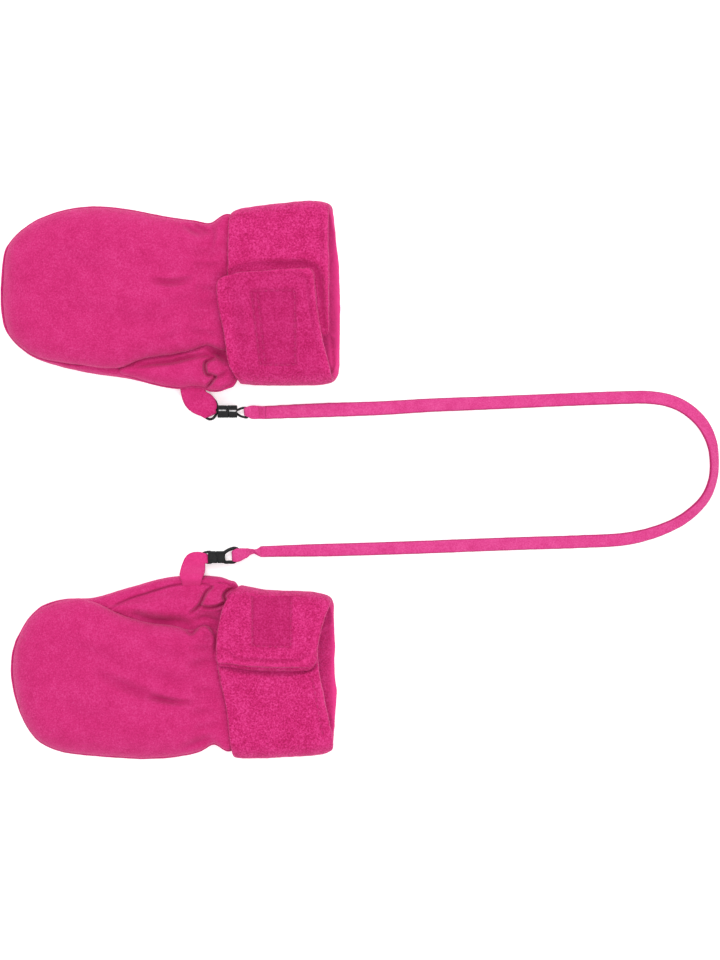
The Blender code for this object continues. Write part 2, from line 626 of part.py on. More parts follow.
def make_thumb(mitten, rim, material):
    """The front of the thumb, from the rolled edge to under the palm's edge."""
    seam, seam_height = seam_line(rim)
    stations = body_stations()
    first = mitten.palm_start + THUMB_START
    stations = np.concatenate([[first], stations[stations > first + 0.5 * THUMB_BULGE]])
    side = slice(rim.turn, None)
    palm_edge = read_table(mitten.valley, "x", "v", stations)
    palm_height = read_table(mitten.valley, "x", "lift", stations)
    rim_v = np.interp(stations, seam[side, 0], seam[side, 1])
    rim_height = np.interp(stations, seam[side, 0], seam_height[side])
    angle = np.interp(stations, seam[side, 0], curl_angle(rim.inset[side]))
    inward = [np.interp(stations, seam[side, 0], rim.normals[side, axis]) for axis in (0, 1)]
    outside = []
    for row, x in enumerate(stations):
        inner_v = palm_edge[row] + THUMB_TUCK
        width = inner_v - rim_v[row]
        half_share = 0.5 - 0.5 * (THUMB_TUCK + THUMB_LEDGE) / width
        under = palm_height[row] - THUMB_UNDER
        bulge = min(THUMB_BULGE, THUMB_SLOPE * (palm_edge[row] - rim_v[row]))
        top = max(under, rim_height[row]) + bulge
        level = math.sin(angle[row]) ** 2
        for share in THUMB_SHARES:
            rise = float(shoulder(share, half_share)) * (1.0 - level)
            rise += float(ease(share / half_share)) * level
            fall = float(ease(share / half_share - 1.0))
            height = (rim_height[row] * (1.0 - rise) + top * rise) * (1.0 - fall) + under * fall
            outside.append((x, rim_v[row] + share * width, height))
    outside = np.array(outside)
    creased = (outside[:, 2] - THUMB_CREASE_START) / (THUMB_CREASE_FULL - THUMB_CREASE_START)
    outside[:, 2] -= trough_depth(mitten, outside[:, :2]) * ease(creased)
    columns = len(THUMB_SHARES)
    faces = grid_faces(len(stations), columns)
    normals = point_normals(outside, faces)
    if normals[:, 2].mean() < 0.0:
        normals = -normals
    edge_normals = (-inward[0] * np.cos(angle), -inward[1] * np.cos(angle), np.sin(angle))
    normals[::columns] = np.column_stack(edge_normals)
    points, closed = close_wall(outside, outside - normals * FLEECE, faces)
    add_mesh(f"{mitten.name}_thumb_panel", lay_out(mitten, points), closed, material)


def wrap_turns(mitten, half):
    """Angles round the wrist, closer together at the two folds and at the free end."""
    turns = [mitten.start]
    last = mitten.end - math.degrees(END_STEPS[0] / half)
    while True:
        to_fold = min(abs(turns[-1] - fold) for fold in (0.0, 180.0))
        step = FOLD_STEP if to_fold < FOLD_SPAN else FLAT_STEP
        if turns[-1] + step > last - LAST_STEP:
            break
        turns.append(turns[-1] + step)
    turns += [mitten.end - math.degrees(back / half) for back in END_STEPS]
    return np.array(turns)


def rounded_corner(back, radius):
    """How far a rounded corner draws the edge in, this far back from the end."""
    back = np.minimum(back, radius)
    return radius - np.sqrt(radius**2 - (radius - back) ** 2)


def make_cuff(mitten, material):
    """The wrist band: from under the flap round the wrist, and on over itself as the closing flap."""
    half = 0.5 * (mitten.folds[2].outer - mitten.folds[2].thumb)
    turns = wrap_turns(mitten, half)
    left = read_table(mitten.wraps, "turn", "left", turns)
    right = read_table(mitten.wraps, "turn", "right", turns)
    back = np.radians(mitten.end - turns) * half
    left = left + rounded_corner(back, mitten.corner_left)
    right = right - rounded_corner(back, mitten.corner_right)
    shares = np.array(BAND_SHARES)
    x = left[:, None] + (right - left)[:, None] * shares
    turn = np.radians(turns)[:, None] * np.ones_like(x)
    outer = read_table(mitten.folds, "x", "outer", x) - 0.5 * CUFF_WALL
    thumb = read_table(mitten.folds, "x", "thumb", x) + 0.5 * CUFF_WALL
    across = np.cos(turn)
    v = 0.5 * (outer + thumb) + 0.5 * (outer - thumb) * across
    reach = np.clip((x - CUFF_START_X) / (CUFF_END_X - CUFF_START_X), 0.0, 1.0)
    top = CEILING_WRIST + (CEILING_HEM - CEILING_WRIST) * reach + 0.5 * CUFF_WALL
    bottom = 0.5 * CUFF_WALL
    level = np.minimum(1.0, FLAT_TRIM * np.sqrt(1.0 - np.abs(across) ** FOLD_SQUARENESS))
    is_top = np.sin(turn) < 0.0
    height = 0.5 * (top + bottom) - np.where(is_top, -1.0, 1.0) * 0.5 * (top - bottom) * level
    height += np.where(is_top, CUFF_DOME * (1.0 - across**2), 0.0)
    height += FLAP_LIFT * ease((np.degrees(turn) - LIFT_TURN) / (LIFT_TURNED - LIFT_TURN))
    middle = np.stack([x, v, height], axis=2).reshape(-1, 3)
    faces = grid_faces(len(turns), len(shares))
    half_wall = point_normals(middle, faces) * 0.5 * CUFF_WALL
    points, closed = close_wall(middle + half_wall, middle - half_wall, faces)
    add_mesh(f"{mitten.name}_cuff", lay_out(mitten, points), closed, material)


def tab_line(tab, angle):
    """The strip's inner and outer edge after this much of its quarter turn."""
    power = 2.0 / tab.square
    reach = np.array((-abs(math.cos(angle)) ** power, -abs(math.sin(angle)) ** power))
    inner = np.array((-math.cos(angle), -math.sin(angle)))
    centre = np.array((tab.x, tab.v))
    return centre + tab.inner * inner, centre + tab.outer * reach


def tab_layer(tab, upper):
    """Rows of one layer from its root to the ring's bar: inner point, outer point, height."""
    loop = 0.5 * RING_WIRE + GAP + 0.5 * TAB_WALL
    level = RING_HEIGHT + loop if upper else RING_HEIGHT - loop
    rows = []
    root = tab.root if upper else min(tab.root, TAB_UNDER_ROOT)
    climb = tab.climb if upper else 0.0
    for share in (1.0, 0.5):
        inner, outer = tab_line(tab, 0.0)
        shift = np.array((0.0, root * share))
        rows.append((inner + shift, outer + shift, level + climb))
    for step in range(TAB_TURN_STEPS + 1):
        inner, outer = tab_line(tab, 0.5 * math.pi * step / TAB_TURN_STEPS)
        rows.append((inner, outer, level + climb * (1.0 - float(ease(step / TAB_CLIMB_STEPS)))))
    half = 0.5 * tab.neck
    inner = np.array((tab.bar, tab.ring_v + half))
    outer = np.array((tab.bar, tab.ring_v - half))
    rows.append((inner, outer, level))
    return rows


def make_tab(mitten, material):
    """The folded strip of fleece that holds the clip's ring."""
    tab = mitten.tab
    loop = 0.5 * RING_WIRE + GAP + 0.5 * TAB_WALL
    rows = tab_layer(tab, True)
    inner, outer, _ = rows[-1]
    for step in range(1, BEND_STEPS):
        angle = math.pi * step / BEND_STEPS
        shift = np.array((loop * math.sin(angle), 0.0))
        rows.append((inner + shift, outer + shift, RING_HEIGHT + loop * math.cos(angle)))
    rows += tab_layer(tab, False)[::-1]
    middle = []
    for inner, outer, height in rows:
        for share in TAB_SHARES:
            middle.append((*(inner + share * (outer - inner)), height))
    middle = np.array(middle)
    faces = grid_faces(len(rows), len(TAB_SHARES))
    half_wall = point_normals(middle, faces) * 0.5 * TAB_WALL
    points, closed = close_wall(middle + half_wall, middle - half_wall, faces)
    add_mesh(f"{mitten.name}_hanger_tab", lay_out(mitten, points), closed, material)


def ring_mesh(mitten, near, far, v, width):
    """A wire ring lying flat, from its bar at far to inside the clip's body at near."""
    half_length = 0.5 * abs(far - near)
    half_width = 0.5 * (width - RING_WIRE)
    middle = 0.5 * (far + near)
    path = []
    for step in range(RING_STEPS):
        angle = 2.0 * math.pi * (step + 0.5) / RING_STEPS
        bow = (abs(math.cos(angle)) ** RING_SQUARENESS, abs(math.sin(angle)) ** RING_SQUARENESS)
        x = middle + half_length * math.copysign(bow[0], math.cos(angle))
        path.append((x, v + half_width * math.copysign(bow[1], math.sin(angle))))
    path = np.array(path)
    tangents = np.roll(path, -1, axis=0) - np.roll(path, 1, axis=0)
    tangents /= np.linalg.norm(tangents, axis=1)[:, None]
    points = []
    for spot, tangent in zip(path, tangents):
        sideways = np.array((tangent[1], -tangent[0]))
        for side in range(RING_SIDES):
            angle = 2.0 * math.pi * side / RING_SIDES
            plan = spot + sideways * 0.5 * RING_WIRE * math.cos(angle)
            points.append((*plan, RING_HEIGHT + 0.5 * RING_WIRE * math.sin(angle)))
    faces = []
    for step in range(len(path)):
        for side in range(RING_SIDES):
            here = step * RING_SIDES
            there = (step + 1) % len(path) * RING_SIDES
            after = (side + 1) % RING_SIDES
            faces.append((here + side, there + side, there + after, here + after))
    return lay_out(mitten, points), faces


def clip_half(mitten, name, outline, ring, material):
    """One moulded half of a clip: a bevelled block with a step, joined to its ring."""
    count = len(outline)
    bottom = RING_HEIGHT - 0.5 * CLIP_THICKNESS
    top = RING_HEIGHT + 0.5 * CLIP_THICKNESS
    points = [(x, v, bottom) for x, v in outline] + [(x, v, top) for x, v in outline]
    faces = [tuple(range(count)), tuple(range(2 * count - 1, count - 1, -1))]
    for start in range(count):
        after = (start + 1) % count
        faces.append((start, start + count, after + count, after))
    item = add_mesh(name, lay_out(mitten, points), faces, material)
    bevel = item.modifiers.new("Rounded edges", "BEVEL")
    bevel.width = CLIP_BEVEL * MM
    bevel.segments = 1
    bevel.limit_method = "ANGLE"
    ring_points, ring_faces = ring_mesh(mitten, *ring)
    guide = add_mesh(f"{name}_ring_guide", ring_points, ring_faces, material)
    guide.hide_render = True
    guide.display_type = "WIRE"
    union = item.modifiers.new("Ring", "BOOLEAN")
    union.operation = "UNION"
    union.object = guide


def make_clip(mitten, material):
    """The two interlocked halves, one ring through the tab and one for the strap."""
    clip = mitten.clip
    tab = mitten.tab
    high = clip.v + 0.5 * CLIP_WIDTH
    low = clip.v - 0.5 * CLIP_WIDTH
    tab_low, tab_high = clip.step - CLIP_STEP - 0.5 * GAP, clip.step + CLIP_STEP - 0.5 * GAP
    cord_low, cord_high = tab_low + GAP, tab_high + GAP
    tab_half = (
        (clip.left, low), (tab_low, low), (tab_low, clip.v), (tab_high, clip.v), (tab_high, high),
        (clip.left, high),
    )
    cord_half = (
        (cord_low, low), (clip.right, low), (clip.right, high), (cord_high, high),
        (cord_high, clip.v - GAP), (cord_low, clip.v - GAP),
    )
    tab_ring = (clip.left + RING_SUNK, tab.bar, tab.ring_v, tab.ring_width)
    cord_ring = (clip.right - RING_SUNK, clip.bar, clip.v, clip.ring_width)
    clip_half(mitten, f"{mitten.name}_clip_tab_half", tab_half, tab_ring, material)
    clip_half(mitten, f"{mitten.name}_clip_cord_half", cord_half, cord_ring, material)


def make_cord_end(mitten, target, material):
    """The strap's folded end: round the ring's bar and back on itself."""
    clip = mitten.clip
    bar = np.array((clip.bar, mitten.centre + mitten.side * clip.v))
    run = np.array(target) - bar
    length = run[0] - STRAP_END_GAP
    loop = 0.5 * RING_WIRE + GAP + 0.5 * STRAP_WALL
    under = 0.5 * STRAP_WALL + STRAP_FLOOR
    over = under + STRAP_WALL + GAP
    rows = []
    for share in STRAP_ROWS[::-1]:
        raised = 1.0 - float(ease(share * STRAP_SETTLE))
        rows.append((length * share, over + (RING_HEIGHT + loop - over) * raised))
    for step in range(BEND_STEPS + 1):
        angle = math.pi * step / BEND_STEPS
        rows.append((-loop * math.sin(angle), RING_HEIGHT + loop * math.cos(angle)))
    for share in STRAP_ROWS:
        raised = 1.0 - float(ease(share * STRAP_SETTLE))
        rows.append((length * share, under + (RING_HEIGHT - loop - under) * raised))
    middle = []
    for along, height in rows:
        spread = float(ease(along / (STRAP_SPREAD * length)))
        width = STRAP_NECK + (STRAP_WIDTH - STRAP_NECK) * spread
        shift = run[1] * float(ease(along / length))
        for share in STRAP_SHARES:
            middle.append((bar[0] + along, bar[1] + shift + share * width, height))
    middle = np.array(middle)
    faces = grid_faces(len(rows), len(STRAP_SHARES))
    half_wall = point_normals(middle, faces) * 0.5 * STRAP_WALL
    points, closed = close_wall(middle + half_wall, middle - half_wall, faces)
    add_mesh(f"{mitten.name}_cord_end", points, closed, material)


def make_cord(material):
    """The flat strap that joins the two clips, as one curve with a flat section."""
    line = smooth_line(CORD_ROUTE, ROUTE_STEP)
    run = np.linalg.norm(np.diff(line, axis=0), axis=1).sum()
    points = even_points(line, int(run / CORD_POINT_STEP))
    curve = bpy.data.curves.new("cord", "CURVE")
    curve.dimensions = "3D"
    curve.twist_mode = "Z_UP"
    curve.bevel_depth = 0.5 * STRAP_THICKNESS * MM
    curve.bevel_resolution = CORD_BEVEL_STEPS
    curve.extrude = 0.5 * (STRAP_WIDTH - STRAP_THICKNESS) * MM
    curve.use_fill_caps = True
    spline = curve.splines.new("POLY")
    spline.points.add(len(points) - 1)
    for place, (x, y) in zip(spline.points, points):
        place.co = (x * MM, y * MM, 0.5 * STRAP_THICKNESS * MM, 1.0)
        place.tilt = 0.5 * math.pi
    curve.materials.append(material)
    item = bpy.data.objects.new("cord", curve)
    bpy.context.scene.collection.objects.link(item)


def build_mitten(mitten, cord_point):
    """Every piece of one mitten, with the strap's end at its clip."""
    name = mitten.name
    rim = back_rim(mitten)
    make_back(mitten, rim, make_material(f"{name} back fleece", FLEECE_PINK, 0.95))
    make_palm(mitten, rim, make_material(f"{name} palm fleece", FLEECE_PINK, 0.95))
    make_thumb(mitten, rim, make_material(f"{name} thumb fleece", FLEECE_PINK, 0.95))
    make_cuff(mitten, make_material(f"{name} cuff fleece", CUFF_PINK, 0.95))
    make_tab(mitten, make_material(f"{name} tab fleece", FLEECE_PINK, 0.95))
    make_clip(mitten, make_material(f"{name} clip plastic", CLIP_BLACK, 0.35))
    make_cord_end(mitten, cord_point, make_material(f"{name} strap end", CORD_PINK, 0.85))


def centre_on_ground():
    """Moves everything so that the mittens' box has its bottom centre at the origin."""
    bpy.context.view_layer.update()
    corners = []
    for item in bpy.data.objects:
        if item.type == "MESH" and "_cord_end" not in item.name and "_clip_" not in item.name:
            corners += [vertex.co for vertex in item.data.vertices]
    corners = np.array(corners)
    low = corners.min(axis=0)
    middle = 0.5 * (low + corners.max(axis=0))
    for item in bpy.data.objects:
        item.location = (-middle[0], -middle[1], -low[2])


def main():
    clear_scene()
    build_mitten(UPPER, CORD_ROUTE[0])
    build_mitten(LOWER, CORD_ROUTE[-1])
    make_cord(make_material("cord strap", CORD_PINK, 0.85))
    centre_on_ground()


main()
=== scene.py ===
"""The dressed pair of child's fleece mittens: cloth, stitching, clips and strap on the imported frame."""
import math
from collections import namedtuple

import bmesh
import bpy
import numpy as np
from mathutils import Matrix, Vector, noise
from mathutils.bvhtree import BVHTree


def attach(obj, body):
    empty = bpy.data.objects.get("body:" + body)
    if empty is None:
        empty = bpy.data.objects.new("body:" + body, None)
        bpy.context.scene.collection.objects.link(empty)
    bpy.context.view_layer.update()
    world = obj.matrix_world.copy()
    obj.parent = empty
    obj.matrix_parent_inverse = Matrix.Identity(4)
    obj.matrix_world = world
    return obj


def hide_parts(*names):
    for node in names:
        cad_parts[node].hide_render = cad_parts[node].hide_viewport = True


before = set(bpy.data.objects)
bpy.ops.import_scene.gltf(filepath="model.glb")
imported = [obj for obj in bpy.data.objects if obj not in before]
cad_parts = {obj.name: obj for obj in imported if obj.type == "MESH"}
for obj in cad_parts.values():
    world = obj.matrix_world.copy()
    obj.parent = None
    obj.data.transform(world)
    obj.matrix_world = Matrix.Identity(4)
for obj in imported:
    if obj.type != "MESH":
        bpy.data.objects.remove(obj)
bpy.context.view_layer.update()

MM = 0.001

# The photograph's frame: millimetres to a pixel, the pixel over the part's origin, and the picture's size
PIXEL = 0.45
ORIGIN_PX = (170.07, 479.62)
IMAGE = (720, 960)

# Camera and lights, in metres
CAMERA_HEIGHT = 2.6
FOCUS_HEIGHT = 0.006
SENSOR_MM = 24.0
AIM = (0.08, 0.0, 0.0)
LIGHTS = (
    ("key", (-0.25, 1.15, 1.75), 0.9, 21.0),
    ("fill", (0.7, -0.9, 1.6), 1.2, 12.5),
    ("top", (0.20, 0.0, 3.0), 1.4, 9.0),
)
WORLD_STRENGTH = 0.85
FLOOR_HALF = 2.0
FLOOR_HEIGHT = -0.0001

# Strap: its route in millimetres, and its width and banking in degrees at shares of its length
STRAP_THICKNESS = 1.6
STRAP_STEP = 1.1
STRAP_SIDES = 24
# Painted shade along the strap's edges
EDGE_TONE = 0.9
CORD_SHIFT = (-0.03, 0.53)
CORD_ROUTE = (
    (42.0, 29.7), (56.0, 30.3), (72.0, 30.9), (95.0, 31.7), (117.0, 33.0), (140.0, 33.9), (161.6, 34.8),
    (180.0, 35.6), (193.5, 36.1), (206.1, 36.5), (216.0, 36.5), (225.0, 35.0), (232.7, 31.4),
    (239.9, 24.6), (244.0, 16.1), (245.1, 7.5), (244.4, -0.6), (240.9, -9.0), (232.2, -17.5),
    (221.0, -23.2), (206.3, -27.1), (184.0, -28.5), (161.6, -29.2), (140.0, -29.95), (117.0, -30.85),
    (95.0, -31.6), (72.0, -32.25), (56.0, -32.6), (40.6, -33.0),
)
STRAP_SHAPE = (
    (0.00, 5.9, 0.0), (0.06, 6.5, 0.0), (0.16, 6.2, 3.0), (0.30, 5.9, 5.0), (0.40, 5.9, 9.0),
    (0.455, 6.2, 26.0), (0.49, 6.2, 48.0), (0.515, 6.2, 52.0), (0.54, 6.1, 46.0), (0.575, 5.4, 26.0),
    (0.64, 5.9, 6.0), (0.80, 5.9, 3.0), (0.94, 5.8, 0.0), (1.00, 4.9, 0.0),
)

# The cuffs' two layers on top, as the height between them at a place along the photograph, and its slope
CUFF_FROM = 8.0
BASE_TOP = 1.8
BASE_FADE = 1.2
SPLIT_AT = 240.0
SPLIT_SLOPE = -0.018
FLAP_SPLIT = {"upper_cuff": 17.53, "lower_cuff": 17.45}

# The pieces of cloth: levels of subdivision, height of the top's start, broad and small unevenness, nap
Cloth = namedtuple("Cloth", "levels top_from broad small pile")
CLOTHS = {
    "back_panel": Cloth(2, 2.0, 0.15, 0.10, 0.16),
    "palm_panel": Cloth(2, 5.0, 0.35, 0.10, 0.20),
    "thumb_panel": Cloth(3, 5.0, 0.25, 0.10, 0.18),
    "cuff": Cloth(3, 8.0, 0.45, 0.16, 0.0),
}
ROLLING_SIZE = 11.0
LINT_SIZES = (1.7, 3.9)
WALL_SHARE = 0.15

# Each piece's whole cut in metres, and how it lies
Sheet = namedtuple("Sheet", "node flat area held rests_on")

# Folds of a node's layer: depth and width in millimetres, how dark (painted shade in the fold; below zero, a
# painted highlight on rolled edges and painted light on shaded rims), and a line of pixels
Fold = namedtuple("Fold", "depth width tint points")
LOWER_THUMB_SEAM = (
    (110, 609.6), (118.5, 604), (132, 597.6), (146, 593.4),
    (160, 588.8), (176, 584.6), (206, 584), (212, 587),
)
FOLDS = {
    ("upper_palm_panel", "top"): (
        Fold(1.3, 1.4, 0.55, ((154, 281.5), (169.6, 283.3), (191, 280.4))),
        Fold(0.6, 3.6, 0.15, ((118, 317), (145, 318.5), (172, 318))),
        Fold(0.6, 1.9, 0.20, ((163, 340), (172, 337), (180, 332))),
        Fold(0.5, 2.2, 0.12, ((158, 307), (175, 303), (197, 298))),
        Fold(1.0, 1.3, 0.50, ((185, 226.5), (193, 231), (202, 235))),
        Fold(0.9, 1.1, 0.50, ((193, 223.5), (201, 228.5), (209, 233))),
        Fold(0.7, 1.3, 0.30, ((212, 226), (214, 236), (212, 248))),
        Fold(0.5, 1.5, 0.15, ((196, 252), (209, 254), (222, 252))),
        Fold(0.7, 1.4, 0.20, ((197, 266), (208, 267), (220, 265))),
        Fold(0.5, 1.3, 0.15, ((200, 288), (208, 290), (215, 292))),
        Fold(0.6, 1.5, 0.20, ((196, 306), (208, 305), (217, 307))),
        Fold(0.6, 1.5, 0.20, ((190, 330), (204, 333), (218, 336))),
        Fold(0.5, 3.0, 0.10, ((60, 250), (85, 262), (112, 268))),
        Fold(0.4, 4.0, 0.10, ((70, 300), (95, 310), (118, 314))),
    ),
    # Painted shade in the creases and in the gap under the palm's edge
    ("upper_thumb_panel", "top"): (
        Fold(1.3, 1.0, 0.60,
             ((140, 366), (155, 363.7), (170, 362.4), (186, 358.5), (196, 356.4), (205, 355),
              (213.4, 358.5))),
        Fold(2.2, 1.7, 0.80, ((209, 351), (216, 353.5), (222, 356), (228, 360))),
        Fold(1.9, 0.75, 0.95,
             ((213.4, 358.5), (205.7, 363.3), (205.3, 369.3), (207.4, 374.5), (212.6, 375.3),
              (215.6, 377.1))),
        Fold(1.9, 0.75, 0.95, ((215.6, 377.1), (212.6, 381.4), (207.4, 386.6), (205.3, 390))),
        Fold(1.0, 0.9, 0.45, ((215.6, 377.1), (221, 376), (227, 372))),
        Fold(0.9, 1.1, 0.30, ((222, 390), (229, 386), (236, 379))),
    ),
    ("lower_palm_panel", "top"): (
        Fold(1.2, 2.2, 0.40, ((100, 673), (116, 681), (134, 689), (156, 697), (175, 701))),
        Fold(1.0, 1.1, 0.50, ((152, 696), (172, 700.5), (193, 702.5))),
        Fold(0.6, 2.8, 0.15, ((146, 668), (168, 677), (192, 681))),
        Fold(0.5, 2.6, 0.12, ((150, 648), (172, 655), (192, 656))),
        Fold(0.9, 1.5, 0.35, ((184, 747), (196, 742), (208, 738))),
        Fold(0.6, 1.4, 0.20, ((197, 727), (208, 726), (217, 724))),
        Fold(0.6, 1.4, 0.20, ((194, 712), (206, 711), (216, 712))),
        Fold(0.5, 1.3, 0.15, ((198, 690), (208, 689), (215, 690))),
        Fold(0.7, 1.5, 0.25, ((190, 664), (203, 662), (214, 663))),
        Fold(0.6, 1.3, 0.20, ((194, 648), (204, 648), (213, 650))),
        Fold(1.7, 0.8, 0.90,
             ((186, 629), (191.6, 633), (195, 630), (199, 624.4), (204.5, 623), (209, 625.3), (213.8, 631),
              (217, 636))),
        Fold(1.0, 0.9, 0.60, ((217, 635.5), (216.6, 643), (215.6, 652))),
        Fold(0.5, 3.4, 0.10, ((70, 640), (92, 652), (118, 660))),
        Fold(0.4, 4.0, 0.10, ((60, 700), (84, 712), (110, 716))),
    ),
    # Painted shade in the creases and in the gap under the palm's edge
    ("lower_thumb_panel", "top"): (
        Fold(1.8, 0.75, 0.95, ((212, 587.4), (206.4, 592), (200.8, 603), (198, 606.8), (191.6, 612.4))),
        Fold(1.9, 0.75, 0.95,
             ((241.5, 585.6), (233, 588.3), (226.7, 592), (224.4, 596.7), (226.3, 602.2), (221, 605),
              (215.6, 606.8), (206, 607.0), (201, 605.5))),
        Fold(0.5, 0.6, 0.85, LOWER_THUMB_SEAM),
        Fold(1.6, 1.9, 0.75, ((136, 614), (150, 618.5), (166, 620.5), (180, 621), (190, 625))),
        Fold(0.8, 1.2, 0.35, ((196, 620), (206, 617), (217, 620))),
    ),
    ("lower_back_panel", "top"): (
        Fold(0.5, 0.6, 0.85, LOWER_THUMB_SEAM),
        Fold(0.5, 3.0, 0.20, ((150, 640), (176, 652), (204, 662))),
        Fold(0.4, 3.4, 0.20, ((130, 710), (165, 700), (198, 698))),
    ),
    ("upper_back_panel", "top"): (
        Fold(0.5, 3.0, 0.20, ((150, 240), (175, 250), (205, 262))),
        Fold(0.4, 3.4, 0.20, ((140, 320), (170, 312), (200, 310))),
    ),
    # First fold: painted shadow beside the flap's free end; second: painted highlight on the rolled hem;
    # third: painted shade beside it
    ("upper_cuff", "front"): (
        Fold(0.9, 1.5, 0.72,
             ((232, 272), (250, 265.5), (275, 264.5), (305, 264.5), (315, 268), (320, 279), (321.5, 293),
              (325, 325), (328, 345))),
        Fold(-0.35, 0.9, -0.30, ((325.5, 213), (326, 252), (326.5, 291), (327.5, 319), (328.3, 362))),
        Fold(0.35, 0.8, 0.30, ((321.5, 213), (322, 240), (322.5, 262))),
    ),
    # Painted highlight on the flap's rolled rim, painted shade inside it
    ("upper_cuff", "flap"): (
        Fold(-0.2, 1.0, -0.22,
             ((222, 290), (226, 279), (238, 273), (272, 270.5), (303, 270.5), (311, 274), (314, 291),
              (318, 320), (323, 350))),
        Fold(0.35, 0.8, 0.22,
             ((227, 300), (230, 282), (242, 277), (272, 275), (300, 275), (306, 279), (309, 295), (313, 322),
              (318, 352))),
        Fold(0.5, 2.2, 0.15, ((236, 300), (241, 325), (243, 350))),
    ),
    # Painted light lifts the shade on the rear layer's rim inside the mouth, with painted shade in the crease
    # beside it
    ("upper_cuff", "under"): (
        Fold(-0.4, 1.6, -0.90, ((332, 214), (335, 228), (336.6, 250), (336.9, 300), (336.8, 371))),
        Fold(0.3, 0.9, 0.10, ((331.5, 230), (332.5, 260), (333, 300), (333, 365))),
        Fold(-0.3, 0.8, -0.60, ((328.4, 322), (329.6, 345), (331.3, 366))),
        Fold(0.3, 0.8, 0.50, ((331.4, 322), (332.4, 345), (333.6, 364))),
    ),
    # First fold: painted shadow beside the flap's free end; second: painted highlight on the rolled hem
    ("lower_cuff", "front"): (
        Fold(0.9, 1.3, 0.55, ((222, 665), (238, 669.5), (256, 671), (281, 672.5), (300, 671), (316, 664))),
        Fold(-0.35, 0.9, -0.30,
             ((316, 660), (318.5, 668.7), (320.8, 685.4), (322.5, 702), (325, 715), (328, 727))),
    ),
    # Painted highlight on the flap's rolled rim, painted shade inside it and along its free end
    ("lower_cuff", "flap"): (
        Fold(-0.2, 1.0, -0.22,
             ((222, 652), (236, 661), (256, 663), (281, 664), (300, 662.5), (311, 657), (314, 648),
              (317, 630), (322, 612))),
        Fold(0.45, 0.75, 0.40, ((225, 649), (238, 657.5), (256, 659), (281, 660), (300, 658.5), (308, 653))),
        Fold(0.2, 0.8, 0.75, ((224, 664), (238, 668.8), (256, 670), (281, 671), (300, 669.8), (312, 664))),
    ),
    # Painted shade in the underside's folds
    ("upper_back_panel", "base"): (
        Fold(-0.8, 2.4, 0.35, ((60, 290), (90, 286), (120, 290), (150, 300))),
        Fold(-0.6, 2.0, 0.30, ((90, 340), (120, 330), (150, 322), (175, 318))),
        Fold(-0.7, 1.6, 0.35, ((165, 250), (185, 262), (200, 282))),
        Fold(-0.6, 1.4, 0.25, ((196, 318), (208, 312), (222, 312))),
    ),
    ("lower_back_panel", "base"): (
        Fold(-0.8, 2.4, 0.35, ((62, 660), (95, 655), (130, 662), (160, 676))),
        Fold(-0.6, 2.0, 0.30, ((80, 706), (115, 712), (150, 706))),
        Fold(-0.7, 1.6, 0.35, ((170, 620), (190, 632), (204, 650))),
        Fold(-0.6, 1.4, 0.25, ((198, 700), (210, 696), (222, 698))),
    ),
    ("upper_cuff", "base"): (
        Fold(-0.6, 2.0, 0.30, ((246, 262), (270, 256), (300, 258))),
        Fold(-0.6, 1.8, 0.30, ((250, 330), (280, 338), (316, 334))),
    ),
    ("lower_cuff", "base"): (
        Fold(-0.6, 2.0, 0.30, ((246, 640), (275, 632), (305, 636))),
        Fold(-0.6, 1.8, 0.30, ((250, 705), (282, 712), (314, 706))),
    ),
    # Painted light lifts the shade on the rear layer's rim inside the mouth
    ("lower_cuff", "under"): (
        Fold(-0.4, 1.6, -0.90, ((330, 600), (333.2, 612), (334, 640), (334, 680), (334.4, 720), (331, 748))),
    ),
}
LIP_SHARE = 0.28
LIP_PLACE = 1.9
TOP_FADE = 1.5

# Soft bulges between the gathers
Lump = namedtuple("Lump", "node rise width x y")
LUMPS = (
    Lump("upper_thumb_panel", 1.3, 2.6, 217, 369),
    Lump("upper_thumb_panel", 1.1, 3.4, 219, 384),
    Lump("upper_thumb_panel", 0.5, 3.0, 202, 377),
    Lump("lower_thumb_panel", 1.3, 2.8, 211, 597),
    Lump("lower_thumb_panel", 0.8, 2.4, 232, 598),
    Lump("lower_palm_panel", 1.0, 2.8, 204, 634),
    Lump("upper_palm_panel", 0.7, 2.6, 214, 345),
)

# Flat parts of a layer that lie lower or look darker, with how soft their border is; a tint below zero paints
# light that lifts the shade inside the cuffs' mouths
Patch = namedtuple("Patch", "node layer depth edge tint corners")
PATCHES = (
    Patch("upper_cuff", "flap", 0.45, 1.4, 0.15, ((252, 293), (295, 292), (295, 365), (261, 365))),
    Patch("upper_cuff", "flap", 0.0, 4.0, 0.24, ((228, 280), (312, 274), (324, 378), (240, 380))),
    Patch("lower_cuff", "flap", 0.75, 1.0, 0.36, ((253, 596), (291, 596), (290, 645), (253, 644))),
    # Painted light inside the cuffs' mouths, lifting their shade
    Patch("upper_cuff", "under", 0.0, 3.0, -0.55, ((296, 200), (346, 200), (346, 384), (296, 384))),
    Patch("lower_cuff", "under", 0.0, 3.0, -0.20, ((296, 588), (344, 588), (344, 758), (296, 758))),
)

